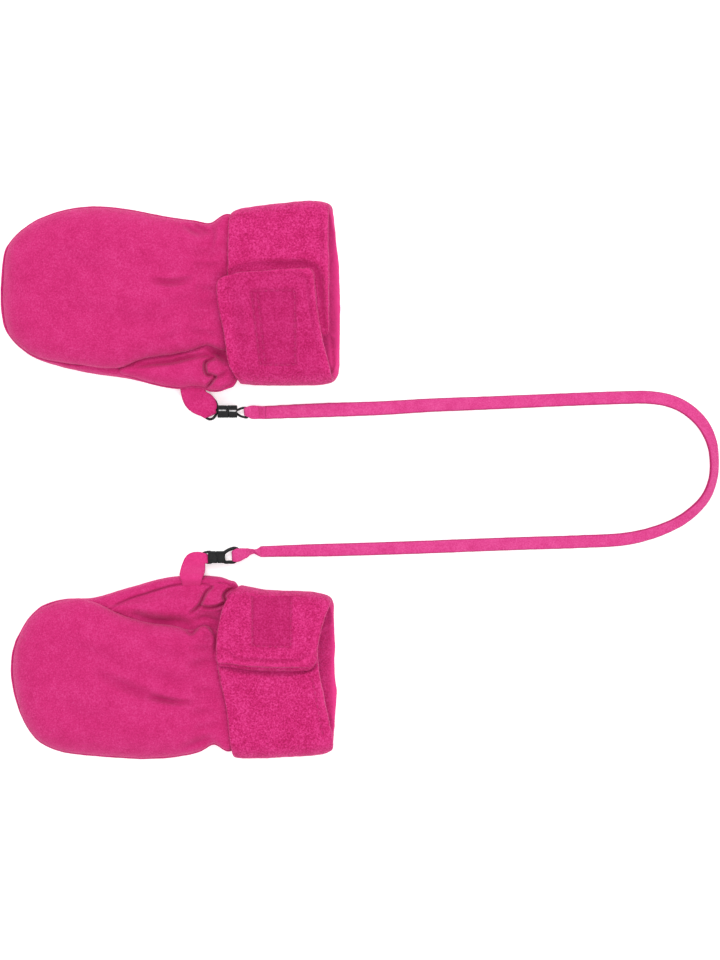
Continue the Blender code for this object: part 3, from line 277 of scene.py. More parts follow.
# Sewn lines, with the pitch, length and thickness of their stitches and the groove they pull
Seam = namedtuple("Seam", "node layer points pitch length thick groove")
SEAMS = (
    Seam("upper_cuff", "flap", ((252, 292), (295, 291.5), (295.5, 365.5), (261, 365.5), (252, 292)),
         2.6, 1.9, 0.3, 0.5),
    Seam("upper_cuff", "flap", ((258, 294), (265.5, 363)), 2.6, 1.9, 0.3, 0.4),
    Seam("lower_cuff", "flap", ((253, 596), (253, 645), (291, 646), (291.5, 596)), 2.6, 1.9, 0.3, 0.55),
    Seam("lower_cuff", "front", ((312, 676), (314, 685), (317, 702), (320, 719), (323, 735)),
         3.0, 2.2, 0.3, 0.3),
    Seam("upper_cord_end", "top", ((259.4, 407.6), (259.6, 417.6)), 1.15, 0.85, 0.3, 0.35),
    Seam("upper_cord_end", "top", ((261.9, 407.6), (262.1, 417.6)), 1.15, 0.85, 0.3, 0.35),
)
GROOVE_WIDTH = 0.8
STITCH_SINK = 0.35
STITCH_SIDES = 6

# Moves of edges to the photograph's: height they start at, pixels right and down, millimetres up, width
Nudge = namedtuple("Nudge", "nodes above dx dy dz width points tall", defaults=(1.0,))
NUDGES = (
    Nudge("upper_palm_panel", 4.0, 0.0, 1.9, 0.3, 6.0, ((104, 367), (118, 366))),
    Nudge("upper_palm_panel", 4.0, 0.0, 0.8, 0.0, 8.0, ((60, 361), (85, 366))),
    Nudge("upper_thumb_panel", 4.0, -6.5, 1.5, 0.4, 3.4, ((126, 365), (127, 370))),
    Nudge("upper_back_panel", 4.0, 0.0, -2.6, 0.0, 2.0, ((88, 367), (104, 368), (122, 370))),
    Nudge("upper_thumb_panel upper_back_panel", -1.0, 0.0, -2.6, 0.0, 3.2, ((192, 388), (201, 389))),
    Nudge("upper_thumb_panel upper_back_panel", -1.0, 0.4, 1.2, 0.0, 2.4, ((208, 388), (218, 388))),
    Nudge("upper_thumb_panel upper_back_panel", -1.0, 0.0, 13.5, 0.0, 3.4, ((236, 402), (236, 380)), 2.3),
    Nudge("upper_palm_panel upper_back_panel", -1.0, 0.0, -7.5, 0.0, 4.6, ((234, 196), (234, 218)), 1.6),
    Nudge("upper_cuff", -1.0, 0.0, 2.2, 0.0, 7.0, ((240, 384), (290, 383), (334, 378))),
    Nudge("upper_cuff", -1.0, 1.5, 0.0, 0.0, 5.0, ((338, 262), (338, 372))),
    Nudge("lower_palm_panel", 4.0, 0.0, -5.0, 0.5, 6.5, ((84, 604), (94, 607))),
    Nudge("lower_thumb_panel", 4.0, -7.0, -0.5, 0.4, 3.4, ((113, 606), (114, 611))),
    Nudge("lower_back_panel", 4.0, 0.0, 2.4, 0.0, 2.2, ((98, 605), (112, 604))),
    Nudge("lower_back_panel", -1.0, 0.0, -13.8, 0.0, 3.5, ((238, 568), (238, 590)), 2.3),
    Nudge("lower_thumb_panel", -1.0, 0.0, -13.4, 0.0, 3.5, ((238, 568), (238, 590)), 2.3),
    Nudge("lower_back_panel", 4.5, 0.4, 1.3, 0.0, 1.5,
          ((122, 600), (142, 592.5), (166, 586.5), (184, 584), (214, 583))),
    Nudge("lower_thumb_panel", 4.5, -0.4, -1.3, 0.0, 1.8,
          ((122, 600), (142, 593), (166, 587), (184, 585), (214, 584))),
    Nudge("lower_palm_panel lower_back_panel", -1.0, 0.0, 6.5, 0.0, 4.2, ((233, 746), (233, 764)), 1.6),
    Nudge("lower_cuff", -1.0, 2.0, 0.0, 0.0, 7.0, ((333.5, 672), (334, 700), (333.5, 726), (331, 752))),
    Nudge("lower_cuff", -1.0, 0.0, 1.2, 0.0, 6.0, ((240, 757), (320, 753))),
    Nudge("lower_cuff", 17.9, 0.0, -4.0, 0.0, 5.0, ((224, 663), (240, 669), (300, 669), (314, 662))),
)
NUDGE_FADE = 1.2
SEAM_RISE = 0.8

# A folded strip's row: its two edges in the photograph, the height midway between its layers, half their gap
Row = namedtuple("Row", "left right middle gap")
UPPER_TAB = (
    Row((181.5, 383.0), (205.0, 385.5), 4.5, 0.56),
    Row((180.2, 388.5), (206.0, 391.2), 4.55, 0.56),
    Row((181.2, 395.5), (210.2, 393.8), 4.0, 0.58),
    Row((183.6, 403.0), (214.0, 397.6), 3.1, 0.75),
    Row((188.2, 409.3), (216.3, 402.2), 2.6, 1.0),
    Row((193.5, 413.2), (216.9, 406.0), 2.45, 1.2),
    Row((198.3, 415.3), (216.6, 408.2), 2.45, 1.2),
    Row((200.9, 416.2), (215.8, 409.6), 2.45, 1.2),
)
LOWER_TAB = (
    Row((182.5, 586.5), (200.5, 586.5), 6.6, 0.56),
    Row((181.8, 582.0), (201.5, 582.0), 8.2, 0.56),
    Row((180.6, 578.5), (202.4, 578.5), 8.9, 0.56),
    Row((179.6, 575.0), (203.8, 575.5), 8.3, 0.56),
    Row((180.4, 570.0), (205.0, 571.8), 6.4, 0.58),
    Row((182.0, 564.0), (205.3, 568.6), 4.3, 0.7),
    Row((184.6, 558.0), (205.2, 566.2), 3.0, 0.95),
    Row((188.6, 553.7), (205.0, 564.6), 2.5, 1.15),
    Row((194.0, 552.0), (205.0, 563.8), 2.45, 1.2),
    Row((199.5, 552.0), (205.3, 563.8), 2.45, 1.2),
    Row((203.9, 552.9), (205.8, 563.6), 2.45, 1.2),
)
UPPER_END = (
    Row((265.2, 406.1), (265.0, 419.0), 1.55, 0.62),
    Row((262.6, 406.0), (262.6, 418.9), 1.55, 0.62),
    Row((258.0, 405.6), (258.0, 418.8), 1.6, 0.66),
    Row((253.5, 405.2), (254.0, 419.0), 1.8, 0.8),
    Row((250.5, 405.5), (251.2, 418.7), 2.2, 1.05),
    Row((248.6, 406.1), (249.2, 417.7), 2.45, 1.2),
    Row((247.2, 406.7), (247.8, 416.9), 2.45, 1.2),
)
LOWER_END = (
    Row((246.0, 548.3), (245.2, 558.6), 1.5, 0.62),
    Row((243.0, 548.3), (242.4, 560.2), 1.6, 0.66),
    Row((240.0, 548.3), (239.5, 561.6), 2.0, 0.9),
    Row((237.0, 548.5), (237.0, 562.1), 2.45, 1.2),
    Row((234.9, 549.2), (235.6, 562.1), 2.45, 1.2),
)
# The lower strap's half turn beside its fold: place in the photograph, height, width and angle
Turn = namedtuple("Turn", "x y height width angle")
LOWER_TURN = (
    Turn(247.0, 553.1, 2.3, 4.3, 6.0),
    Turn(250.0, 552.0, 2.4, 3.4, 46.0),
    Turn(252.8, 551.6, 2.35, 2.7, 71.0),
    Turn(255.4, 551.8, 2.2, 2.7, 112.0),
    Turn(258.2, 551.9, 1.7, 4.0, 148.0),
    Turn(260.8, 551.8, 1.15, 4.8, 170.0),
    Turn(265.0, 551.6, 0.9, 5.1, 180.0),
)
# Where a strip bunches up: place in the photograph, width, and how much thicker it is there
Bunch = namedtuple("Bunch", "node x y width share")
BUNCHES = (Bunch("lower_cord_end", 254.2, 551.7, 1.7, 0.9),)
PALE_STRIPS = {"lower_hanger_tab": 0.40}
STRIP_LAYER = 1.1
STRIP_SIDES = 20
# Painted shade along a strip's edges
STRIP_EDGE_TONE = 0.45
STRIP_LINT = 0.06
TURN_PINCH = 0.16
TURN_ANGLES = (30.0, 60.0, 90.0, 120.0, 150.0)

# Clips, by their places in the photograph, with their rings' wire and heights in millimetres
Clip = namedtuple("Clip", "name box first second crossing tab_ring tab_wire cord_ring cord_wire glints")
RING_POINTS = 40
RING_SIDES = 12
UPPER_RING = tuple(
    (
        209.9 + 7.1 * math.cos(2.0 * math.pi * step / RING_POINTS),
        408.4 + 10.8 * math.sin(2.0 * math.pi * step / RING_POINTS),
    )
    for step in range(RING_POINTS)
)
CLIPS = (
    Clip(
        "upper", (217.5, 405.2, 237.0, 417.6), 226.7, 228.6, 411.1,
        UPPER_RING, 1.2,
        ((235.0, 411.5), (238.6, 409.3), (242.0, 408.0), (245.5, 407.8), (248.0, 409.5), (248.6, 412.5),
         (248.4, 415.6), (246.6, 417.3), (243.0, 416.8), (239.6, 415.6)), 1.1,
        ((218.6, 409.7, 226.0, 410.9), (229.2, 410.0, 236.2, 411.5)),
    ),
    Clip(
        "lower", (207.9, 551.2, 224.7, 563.2), 215.4, 217.2, 557.3,
        ((211.0, 552.5), (206.6, 552.2), (203.0, 553.5), (202.0, 557.4), (203.0, 561.2), (206.6, 562.6),
         (211.0, 562.4)), 1.2,
        ((223.2, 557.0), (223.8, 553.4), (226.6, 551.0), (230.2, 549.3), (234.6, 548.3), (237.6, 549.6),
         (237.8, 554.0), (236.8, 559.4), (233.6, 562.0), (229.0, 562.2), (224.6, 562.0)), 1.6,
        (),
    ),
)
CLIP_BOTTOM = 0.1
CLIP_BODY_TOP = 4.55
CLIP_TOP = 4.8
RAIL_BOTTOM = 4.1
RIB_TOP = 4.75
CLIP_GAP = 0.12
RING_HEIGHT = 2.45
SHARP_EDGE = math.radians(42.0)

# Colours
Tones = namedtuple("Tones", "deep base light")
HAND_TONES = Tones((0.370, 0.0092, 0.087), (0.487, 0.0198, 0.139), (0.576, 0.0495, 0.213))
CUFF_TONES = Tones((0.325, 0.0060, 0.070), (0.468, 0.0150, 0.126), (0.590, 0.0400, 0.205))
CORD_TONES = Tones((0.440, 0.0185, 0.128), (0.568, 0.0390, 0.206), (0.639, 0.0920, 0.284))
# FOLD_TONE is painted shade for folds, seam grooves and the edges of strips and the strap
FOLD_TONE = (0.300, 0.0070, 0.075)
# RIDGE_TONE is painted highlight for rolled edges and painted light on shaded rims; it also makes the lower
# tab paler
RIDGE_TONE = (0.660, 0.0380, 0.208)
BLACK_TONES = ((0.0035, 0.0035, 0.004), (0.010, 0.011, 0.012))
# Pale greys that paint glints on the upper clip's ribs
GLINT_TONES = ((0.22, 0.22, 0.22), (0.60, 0.60, 0.61))
FLOOR_TONES = ((0.93, 0.93, 0.93), (0.95, 0.95, 0.95))
WHITE = (1.0, 1.0, 1.0, 1.0)


def spot(px, py):
    """Where a place in the photograph's frame is, in millimetres."""
    return (px - ORIGIN_PX[0]) * PIXEL, (ORIGIN_PX[1] - py) * PIXEL


def to_mm(points):
    """A line of places in the photograph's frame, in millimetres."""
    return np.array([spot(*point) for point in points])


def ease(value):
    """A smooth rise from 0 to 1."""
    value = np.clip(value, 0.0, 1.0)
    return value * value * (3.0 - 2.0 * value)


def bell(off, width):
    """A smooth hump over the distance from its middle."""
    return np.exp(-((off / width) ** 2))


def unit(vectors):
    """The rows of a table, each at a length of one."""
    return vectors / np.linalg.norm(vectors, axis=1)[:, None]


def squared_off(wave, power):
    """A sine or cosine pushed toward its extremes by a power below one."""
    return math.copysign(abs(wave) ** power, wave)


def flat_section(sides, power):
    """Places round a flat band with rounded edges, across and up, each from -1 to 1."""
    angles = [2.0 * math.pi * (step + 0.5) / sides for step in range(sides)]
    return [(squared_off(math.cos(angle), power), squared_off(math.sin(angle), 0.7)) for angle in angles]


def run_along(line):
    """How far along a line each of its points is."""
    return np.concatenate([[0.0], np.cumsum(np.linalg.norm(np.diff(line, axis=0), axis=1))])


def resample(line, step):
    """The line with evenly spaced points, about a step apart."""
    run = run_along(line)
    count = max(2, int(round(run[-1] / step)) + 1)
    places = np.linspace(0.0, run[-1], count)
    return np.stack([np.interp(places, run, line[:, axis]) for axis in range(line.shape[1])], axis=1)


def smooth_line(points, spacing):
    """A smooth line through the points, read about once every spacing."""
    points = np.asarray(points, float)
    lengths = np.linalg.norm(np.diff(points, axis=0), axis=1)
    knots = np.concatenate([[0.0], np.cumsum(np.sqrt(lengths))])
    tangents = np.gradient(points, knots, axis=0)
    pieces = []
    for start, length in enumerate(lengths):
        count = max(2, math.ceil(length / spacing))
        t = np.linspace(0.0, 1.0, count, endpoint=False)[:, None]
        step = knots[start + 1] - knots[start]
        rise = ease(t)
        pull = t * (1.0 - t) ** 2 * step * tangents[start] + t * t * (t - 1.0) * step * tangents[start + 1]
        pieces.append(points[start] * (1.0 - rise) + points[start + 1] * rise + pull)
    pieces.append(points[-1:])
    return np.concatenate(pieces)


def distance_to(line, plan):
    """Each plan point's distance to a line, and how far along the line the nearest place is."""
    best = np.full(len(plan), 1e9)
    along = np.zeros(len(plan))
    lengths = np.linalg.norm(np.diff(line, axis=0), axis=1)
    done = 0.0
    for start, end, length in zip(line[:-1], line[1:], lengths):
        way = end - start
        share = np.clip((plan - start) @ way / (way @ way), 0.0, 1.0)
        off = np.linalg.norm(plan - start - share[:, None] * way, axis=1)
        nearer = off < best
        best = np.where(nearer, off, best)
        along = np.where(nearer, (done + share * length) / lengths.sum(), along)
        done += length
    return best, along


def inside_corners(corners, plan):
    """How deep each plan point is inside a convex shape given anticlockwise or clockwise."""
    centre = corners.mean(axis=0)
    depth = np.full(len(plan), 1e9)
    for start, end in zip(corners, np.roll(corners, -1, axis=0)):
        way = (end - start) / np.linalg.norm(end - start)
        normal = np.array((-way[1], way[0]))
        if (centre - start) @ normal < 0.0:
            normal = -normal
        depth = np.minimum(depth, (plan - start) @ normal)
    return depth


def read_noise(points, scale, seed):
    """Smooth unevenness at each point, from about -1 to 1."""
    shift = Vector((seed * 13.7, seed * 7.3, seed * 3.1))
    return np.array([noise.noise(Vector(point) / scale + shift) for point in points])


def place_object(name, data):
    """A new object in the scene."""
    item = bpy.data.objects.new(name, data)
    bpy.context.scene.collection.objects.link(item)
    return item


def set_inputs(node, values):
    """Sets constants on a node's own sockets."""
    for socket, value in values.items():
        node.inputs[socket].default_value = value


def new_material(name):
    """An empty node material with its shader and object coordinates in millimetres."""
    material = bpy.data.materials.new(name)
    material.use_nodes = True
    tree = material.node_tree
    place = tree.nodes.new("ShaderNodeTexCoord")
    scale = tree.nodes.new("ShaderNodeMapping")
    set_inputs(scale, {"Scale": (1000.0, 1000.0, 1000.0)})
    tree.links.new(place.outputs["Object"], scale.inputs["Vector"])
    return material, tree, tree.nodes["Principled BSDF"], scale.outputs["Vector"]


def add_texture(tree, kind, vector, values):
    """A texture node over millimetres."""
    node = tree.nodes.new(kind)
    set_inputs(node, values)
    tree.links.new(vector, node.inputs["Vector"])
    return node


def add_noise(tree, vector, scale, detail, roughness=0.55):
    """A noise texture's strength."""
    values = {"Scale": scale, "Detail": detail, "Roughness": roughness}
    return add_texture(tree, "ShaderNodeTexNoise", vector, values).outputs["Fac"]


def add_math(tree, operation, first, second):
    """A maths node on sockets or numbers."""
    node = tree.nodes.new("ShaderNodeMath")
    node.operation = operation
    for index, value in enumerate((first, second)):
        if isinstance(value, (int, float)):
            node.inputs[index].default_value = value
        else:
            tree.links.new(value, node.inputs[index])
    return node.outputs[0]


def add_ramp(tree, factor, stops):
    """A colour ramp with its stops."""
    node = tree.nodes.new("ShaderNodeValToRGB")
    ramp = node.color_ramp
    while len(ramp.elements) < len(stops):
        ramp.elements.new(0.5)
    for element, (place, colour) in zip(ramp.elements, stops):
        element.position = place
        element.color = (*colour, 1.0)
    tree.links.new(factor, node.inputs["Fac"])
    return node.outputs["Color"]


def add_bump(tree, shader, height, strength, distance):
    """Fine relief on a shader."""
    bump = tree.nodes.new("ShaderNodeBump")
    set_inputs(bump, {"Strength": strength, "Distance": distance})
    tree.links.new(height, bump.inputs["Height"])
    tree.links.new(bump.outputs["Normal"], shader.inputs["Normal"])


def add_fold_tones(tree, colour, light):
    """The colour with painted shade mixed in where the cloth lies in folds, grooves and shaded edges, and
    painted highlight on its rolled edges and shaded rims.
    """
    for attribute, tone in (("fold", FOLD_TONE), ("ridge", light)):
        strength = tree.nodes.new("ShaderNodeAttribute")
        strength.attribute_name = attribute
        mix = tree.nodes.new("ShaderNodeMix")
        mix.data_type = "RGBA"
        tree.links.new(strength.outputs["Fac"], mix.inputs["Factor"])
        tree.links.new(colour, mix.inputs[6])
        mix.inputs[7].default_value = (*tone, 1.0)
        colour = mix.outputs[2]
    return colour


def fleece(name, tones, curl, mottle, spread):
    """Brushed fleece: a short matted pile with paler tips, with painted shade in its folds and painted
    highlight on its rolled edges.
    """
    material, tree, shader, vector = new_material(name)
    fine = add_noise(tree, vector, 1.5, 4.0, 0.65)
    wobble = add_texture(tree, "ShaderNodeTexNoise", vector, {"Scale": 1.4, "Detail": 2.0})
    bent = tree.nodes.new("ShaderNodeVectorMath")
    bent.operation = "MULTIPLY_ADD"
    bent.inputs[1].default_value = (1.1, 1.1, 1.1)
    tree.links.new(wobble.outputs["Color"], bent.inputs[0])
    tree.links.new(vector, bent.inputs[2])
    values = {"Scale": curl, "Randomness": 1.0}
    curls = add_texture(tree, "ShaderNodeTexVoronoi", bent.outputs[0], values).outputs["Distance"]
    broad = add_noise(tree, vector, 0.14, 4.0)
    tone = add_math(tree, "ADD", fine, add_math(tree, "MULTIPLY", curls, mottle))
    tone = add_math(tree, "ADD", tone, add_math(tree, "MULTIPLY", broad, 0.35))
    tone = add_math(tree, "SUBTRACT", tone, 0.19 + 0.45 * mottle)
    stops = ((0.5 - spread, tones.deep), (0.5, tones.base), (0.5 + spread, tones.light))
    colour = add_ramp(tree, tone, stops)
    tree.links.new(add_fold_tones(tree, colour, RIDGE_TONE), shader.inputs["Base Color"])
    pile = add_noise(tree, vector, 2.6, 5.0, 0.7)
    height = add_math(tree, "ADD", pile, add_math(tree, "MULTIPLY", curls, mottle * 2.0))
    add_bump(tree, shader, height, 0.55, 0.0006)
    set_inputs(shader, {
        "Roughness": 1.0,
        "Specular IOR Level": 0.1,
        "Sheen Weight": 0.30,
        "Sheen Roughness": 0.45,
        "Sheen Tint": (1.0, 0.45, 0.68, 1.0),
    })
    return material


def plain_cloth(name, tones, ribs):
    """Close knitted tape or thread: fine ribs along it and a slight sheen."""
    material, tree, shader, vector = new_material(name)
    fine = add_noise(tree, vector, 1.6, 3.0)
    broad = add_noise(tree, vector, 0.2, 2.0)
    wave = add_texture(tree, "ShaderNodeTexWave", vector, {"Scale": ribs, "Distortion": 1.6, "Detail": 2.0})
    wave.wave_type = "BANDS"
    wave.bands_direction = "Y"
    rib = wave.outputs["Fac"]
    tone = add_math(tree, "ADD", add_math(tree, "MULTIPLY", fine, 0.7), add_math(tree, "MULTIPLY", rib, 0.18))
    tone = add_math(tree, "ADD", tone, add_math(tree, "MULTIPLY", broad, 0.3))
    colour = add_ramp(tree, tone, ((0.35, tones.deep), (0.58, tones.base), (0.85, tones.light)))
    tree.links.new(add_fold_tones(tree, colour, tones.light), shader.inputs["Base Color"])
    add_bump(tree, shader, add_math(tree, "ADD", rib, fine), 0.4, 0.0003)
    set_inputs(shader, {
        "Roughness": 0.9,
        "Specular IOR Level": 0.2,
        "Sheen Weight": 0.2,
        "Sheen Tint": (1.0, 0.55, 0.75, 1.0),
    })
    return material


def moulded_plastic(name, tones):
    """Moulded plastic with faint flow marks between a darker and a paler tone; pale tones make it paint
    glints.
    """
    material, tree, shader, vector = new_material(name)
    marks = add_noise(tree, vector, 0.9, 4.0)
    colour = add_ramp(tree, marks, ((0.35, tones[0]), (0.75, tones[1])))
    tree.links.new(colour, shader.inputs["Base Color"])
    rough = tree.nodes.new("ShaderNodeMapRange")
    set_inputs(rough, {"To Min": 0.28, "To Max": 0.5})
    tree.links.new(marks, rough.inputs["Value"])
    tree.links.new(rough.outputs["Result"], shader.inputs["Roughness"])
    add_bump(tree, shader, add_noise(tree, vector, 4.0, 3.0), 0.12, 0.0002)
    set_inputs(shader, {"Specular IOR Level": 0.16})
    return material


def add_piece(name, mesh, material, node=None):
    """A piece that rides on the frame's one body, and stands for a node if it is given."""
    item = place_object(name, mesh)
    mesh.materials.clear()
    mesh.materials.append(material)
    mesh.shade_smooth()
    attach(item, "root")
    if node:
        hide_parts(node)
    return item


def dense_mesh(node, levels, top_from):
    """The node's own surface as four-sided faces, subdivided, and once more on its top."""
    shape = bmesh.new()
    shape.from_mesh(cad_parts[node].data)
    bmesh.ops.remove_doubles(shape, verts=shape.verts, dist=1e-6)
    bmesh.ops.join_triangles(
        shape,
        faces=shape.faces,
        angle_face_threshold=math.radians(60.0),
        angle_shape_threshold=math.radians(70.0),
    )
    mesh = bpy.data.meshes.new(f"{node}_dense")
    shape.to_mesh(mesh)
    shape.free()
    mesh.materials.clear()
    item = place_object(f"{node}_dense", mesh)
    subdivide = item.modifiers.new("Subdivide", "SUBSURF")
    subdivide.levels = levels
    subdivide.render_levels = levels
    bpy.context.view_layer.update()
    depsgraph = bpy.context.evaluated_depsgraph_get()
    dense = bpy.data.meshes.new_from_object(item.evaluated_get(depsgraph))
    bpy.data.objects.remove(item)
    shape = bmesh.new()
    shape.from_mesh(dense)
    edges = set()
    for face in shape.faces:
        if face.normal.z > 0.05 and face.calc_center_median().z / MM > top_from:
            edges.update(face.edges)
    bmesh.ops.subdivide_edges(shape, edges=list(edges), cuts=1, use_grid_fill=True)
    shape.to_mesh(dense)
    shape.free()
    return dense


def mesh_arrays(mesh):
    """A mesh's points in millimetres and its point normals."""
    points = np.empty(len(mesh.vertices) * 3)
    mesh.vertices.foreach_get("co", points)
    normals = np.empty(len(mesh.vertices) * 3)
    mesh.vertex_normals.foreach_get("vector", normals)
    return points.reshape(-1, 3) / MM, normals.reshape(-1, 3)


def write_points(mesh, points, tint):
    """Puts points back into a mesh, with how strong the painted shade (fold) and the painted highlight
    (ridge) are at each.
    """
    mesh.vertices.foreach_set("co", (points * MM).ravel())
    for title, values in (("fold", tint), ("ridge", -tint)):
        attribute = mesh.attributes.new(title, "FLOAT", "POINT")
        attribute.data.foreach_set("value", np.clip(values, 0.0, 1.0))
    mesh.update()


def nudge(node, points):
    """Moves parts of a piece's outline and edges to where the photograph has them."""
    for row in NUDGES:
        if node not in row.nodes.split():
            continue
        shape = np.array((1.0, 1.0 / row.tall))
        off, _ = distance_to(to_mm(row.points) * shape, points[:, :2] * shape)
        share = bell(off, row.width) * ease((points[:, 2] - row.above) / NUDGE_FADE)
        points += share[:, None] * np.array((row.dx * PIXEL, -row.dy * PIXEL, row.dz))


def close_seam(node, points, normals):
    """Lifts a back panel's rim into its seam, which its turned-in edge closes."""
    if node.endswith("back_panel"):
        rim = ease((normals[:, 2] - 0.2) / 0.5) * ease((points[:, 2] - 3.0) / 0.8)
        points[:, 2] += SEAM_RISE * rim


def layer_share(node, layer, points, top_from):
    """How far each point belongs to a layer of its piece, from 0 to 1."""
    height = points[:, 2]
    if layer == "top":
        return ease((height - top_from) / TOP_FADE)
    if layer == "base":
        return ease((BASE_TOP - height) / BASE_FADE)
    if layer == "under":
        return 1.0 * (height < CUFF_FROM)
    split = FLAP_SPLIT[node] + SPLIT_SLOPE * (points[:, 0] - spot(SPLIT_AT, 0.0)[0])
    return 1.0 * (height > split) if layer == "flap" else 1.0 * ((height > CUFF_FROM) & (height <= split))


def fold_field(node, points, top_from):
    """How deep a piece's folds, lumps, patches and seam grooves are at each point, and their tint: painted
    shade, or painted light where it is below zero.
    """
    plan = points[:, :2]
    depth = np.zeros(len(plan))
    tint = np.zeros(len(plan))
    for (owner, layer), folds in FOLDS.items():
        if owner != node:
            continue
        share = layer_share(node, layer, points, top_from)
        for fold in folds:
            off, along = distance_to(smooth_line(to_mm(fold.points), 1.0), plan)
            swell = np.sin(math.pi * (0.10 + 0.80 * along)) ** 0.7
            trough = swell * bell(off, fold.width)
            lip = LIP_SHARE * swell * bell(off - LIP_PLACE * fold.width, fold.width)
            depth += fold.depth * (trough - lip) * share
            # The tint paints shade in the trough, or light where it is below zero
            tint += fold.tint * trough * share
    for patch in PATCHES:
        if patch.node == node:
            sunk = ease(inside_corners(to_mm(patch.corners), plan) / patch.edge + 0.5)
            sunk *= layer_share(node, patch.layer, points, top_from)
            depth += patch.depth * sunk
            tint += patch.tint * sunk
    for seam in SEAMS:
        if seam.node == node:
            off, _ = distance_to(to_mm(seam.points), plan)
            groove = bell(off, GROOVE_WIDTH) * layer_share(node, seam.layer, points, top_from)
            depth += seam.groove * groove
            # Painted shade in the seam's groove
            tint += 0.5 * seam.groove * groove
    for lump in LUMPS:
        if lump.node == node:
            off = np.linalg.norm(plan - spot(lump.x, lump.y), axis=1)
            depth -= lump.rise * bell(off, lump.width) * layer_share(node, "top", points, top_from)
    return depth, tint


def make_cloth(node, material, cloth):
    """One cloth piece: its node's form with soft unevenness, folds and sewn grooves."""
    mesh = dense_mesh(node, cloth.levels, cloth.top_from)
    points, normals = mesh_arrays(mesh)
    nudge(node, points)
    close_seam(node, points, normals)
    plan = points[:, :2]
    level = np.column_stack([plan, np.full(len(plan), 3.0 * (points[:, 2] > cloth.top_from))])
    on_top = layer_share(node, "top", points, cloth.top_from)
    rolling = read_noise(level, ROLLING_SIZE, 1) * cloth.broad * on_top
    rough = read_noise(points, LINT_SIZES[0], 3) * 0.5 + read_noise(points, LINT_SIZES[1], 2)
    depth, tint = fold_field(node, points, cloth.top_from)
    flatness = np.abs(normals[:, 2])
    points[:, 2] += (rolling - depth) * np.minimum(1.0, flatness + WALL_SHARE)
    points += normals * (cloth.pile + cloth.small * rough)[:, None]
    points[:, 2] = np.maximum(points[:, 2], 0.0)
    # The tint is written as painted shade in folds and grooves and painted light on rolled edges and shaded
    # rims
    write_points(mesh, points, tint * np.clip(flatness * 2.0, 0.0, 1.0))
    return add_piece(f"{node}_cloth", mesh, material, node)


def loft_faces(rows, sides, first=0):
    """The faces of a closed tube with so many rows and sides, whose points begin at first."""
    faces = []
    for row in range(rows - 1):
        here = first + row * sides
        there = here + sides
        for step in range(sides):
            after = (step + 1) % sides
            faces.append((here + step, here + after, there + after, there + step))
    faces.append(tuple(range(first, first + sides))[::-1])
    last = first + (rows - 1) * sides
    faces.append(tuple(range(last, last + sides)))
    return faces


def outward_mesh(shape, mesh):
    """Writes a shape to a mesh with its faces turned outward."""
    bmesh.ops.recalc_face_normals(shape, faces=shape.faces)
    shape.to_mesh(mesh)
    shape.free()
    mesh.update()
    return mesh


def make_mesh(name, points, faces):
    """A mesh from points in millimetres."""
    mesh = bpy.data.meshes.new(name)
    mesh.from_pydata([tuple(value * MM for value in point) for point in points], [], faces)
    shape = bmesh.new()
    shape.from_mesh(mesh)
    return outward_mesh(shape, mesh)


def strip_mesh(name, rows, bunches):
    """A closed strip of cloth lofted through rows of its two edges, thicker where it bunches up."""
    rows = smooth_line(rows, 0.8)
    centre = 0.5 * (rows[:, :3] + rows[:, 3:])
    thickness = np.full(len(centre), STRIP_LAYER)
    for bunch in bunches:
        off = np.linalg.norm(centre[:, :2] - spot(bunch.x, bunch.y), axis=1)
        thickness *= 1.0 + bunch.share * bell(off, bunch.width)
    across = rows[:, 3:] - rows[:, :3]
    up = unit(np.cross(np.gradient(centre, axis=0), across))
    points, edges = [], []
    for place, way, rise, thick in zip(centre, across, up, thickness):
        for aside, lift in flat_section(STRIP_SIDES, 0.4):
            points.append(place + 0.5 * aside * way + 0.5 * thick * lift * rise)
            edges.append(abs(aside))
    faces = loft_faces(len(centre), STRIP_SIDES)
    return make_mesh(name, points, faces), np.array(points), np.array(edges)


def edge_row(row, side):
    """The two edges of one layer of a folded strip, as six numbers in millimetres."""
    height = row.middle + side * row.gap
    return (*spot(*row.left), height, *spot(*row.right), height)


def folded_rows(table):
    """The rows along a folded strip: out on its upper layer, round its fold and back beneath."""
    upper = [edge_row(row, 1.0) for row in table]
    lower = [edge_row(row, -1.0) for row in reversed(table)]
    end = np.array(edge_row(table[-1], 0.0))
    before = np.array(edge_row(table[-2], 0.0))
    way = (end - before)[:3] + (end - before)[3:]
    way[2] = 0.0
    way /= np.linalg.norm(way)
    turn = []
    middle = np.tile(0.5 * (end[:3] + end[3:]), 2)
    for angle in np.radians(TURN_ANGLES):
        shift = table[-1].gap * math.sin(angle) * way + np.array((0.0, 0.0, table[-1].gap * math.cos(angle)))
        narrow = 1.0 - TURN_PINCH * math.sin(angle)
        turn.append(middle + (end - middle) * narrow + np.concatenate([shift, shift]))
    return np.array(upper + turn + lower)


def turned_rows(table, turns):
    """The lower strap's end: its tail beneath, round the ring, back above, then a half turn."""
    rows = []
    for turn in turns:
        angle = math.radians(turn.angle)
        way = 0.5 * turn.width * np.array((0.0, math.cos(angle), math.sin(angle)))
        place = np.array((*spot(turn.x, turn.y), turn.height))
        rows.append(np.concatenate([place + way, place - way]))
    return np.concatenate([folded_rows(table)[::-1], rows])


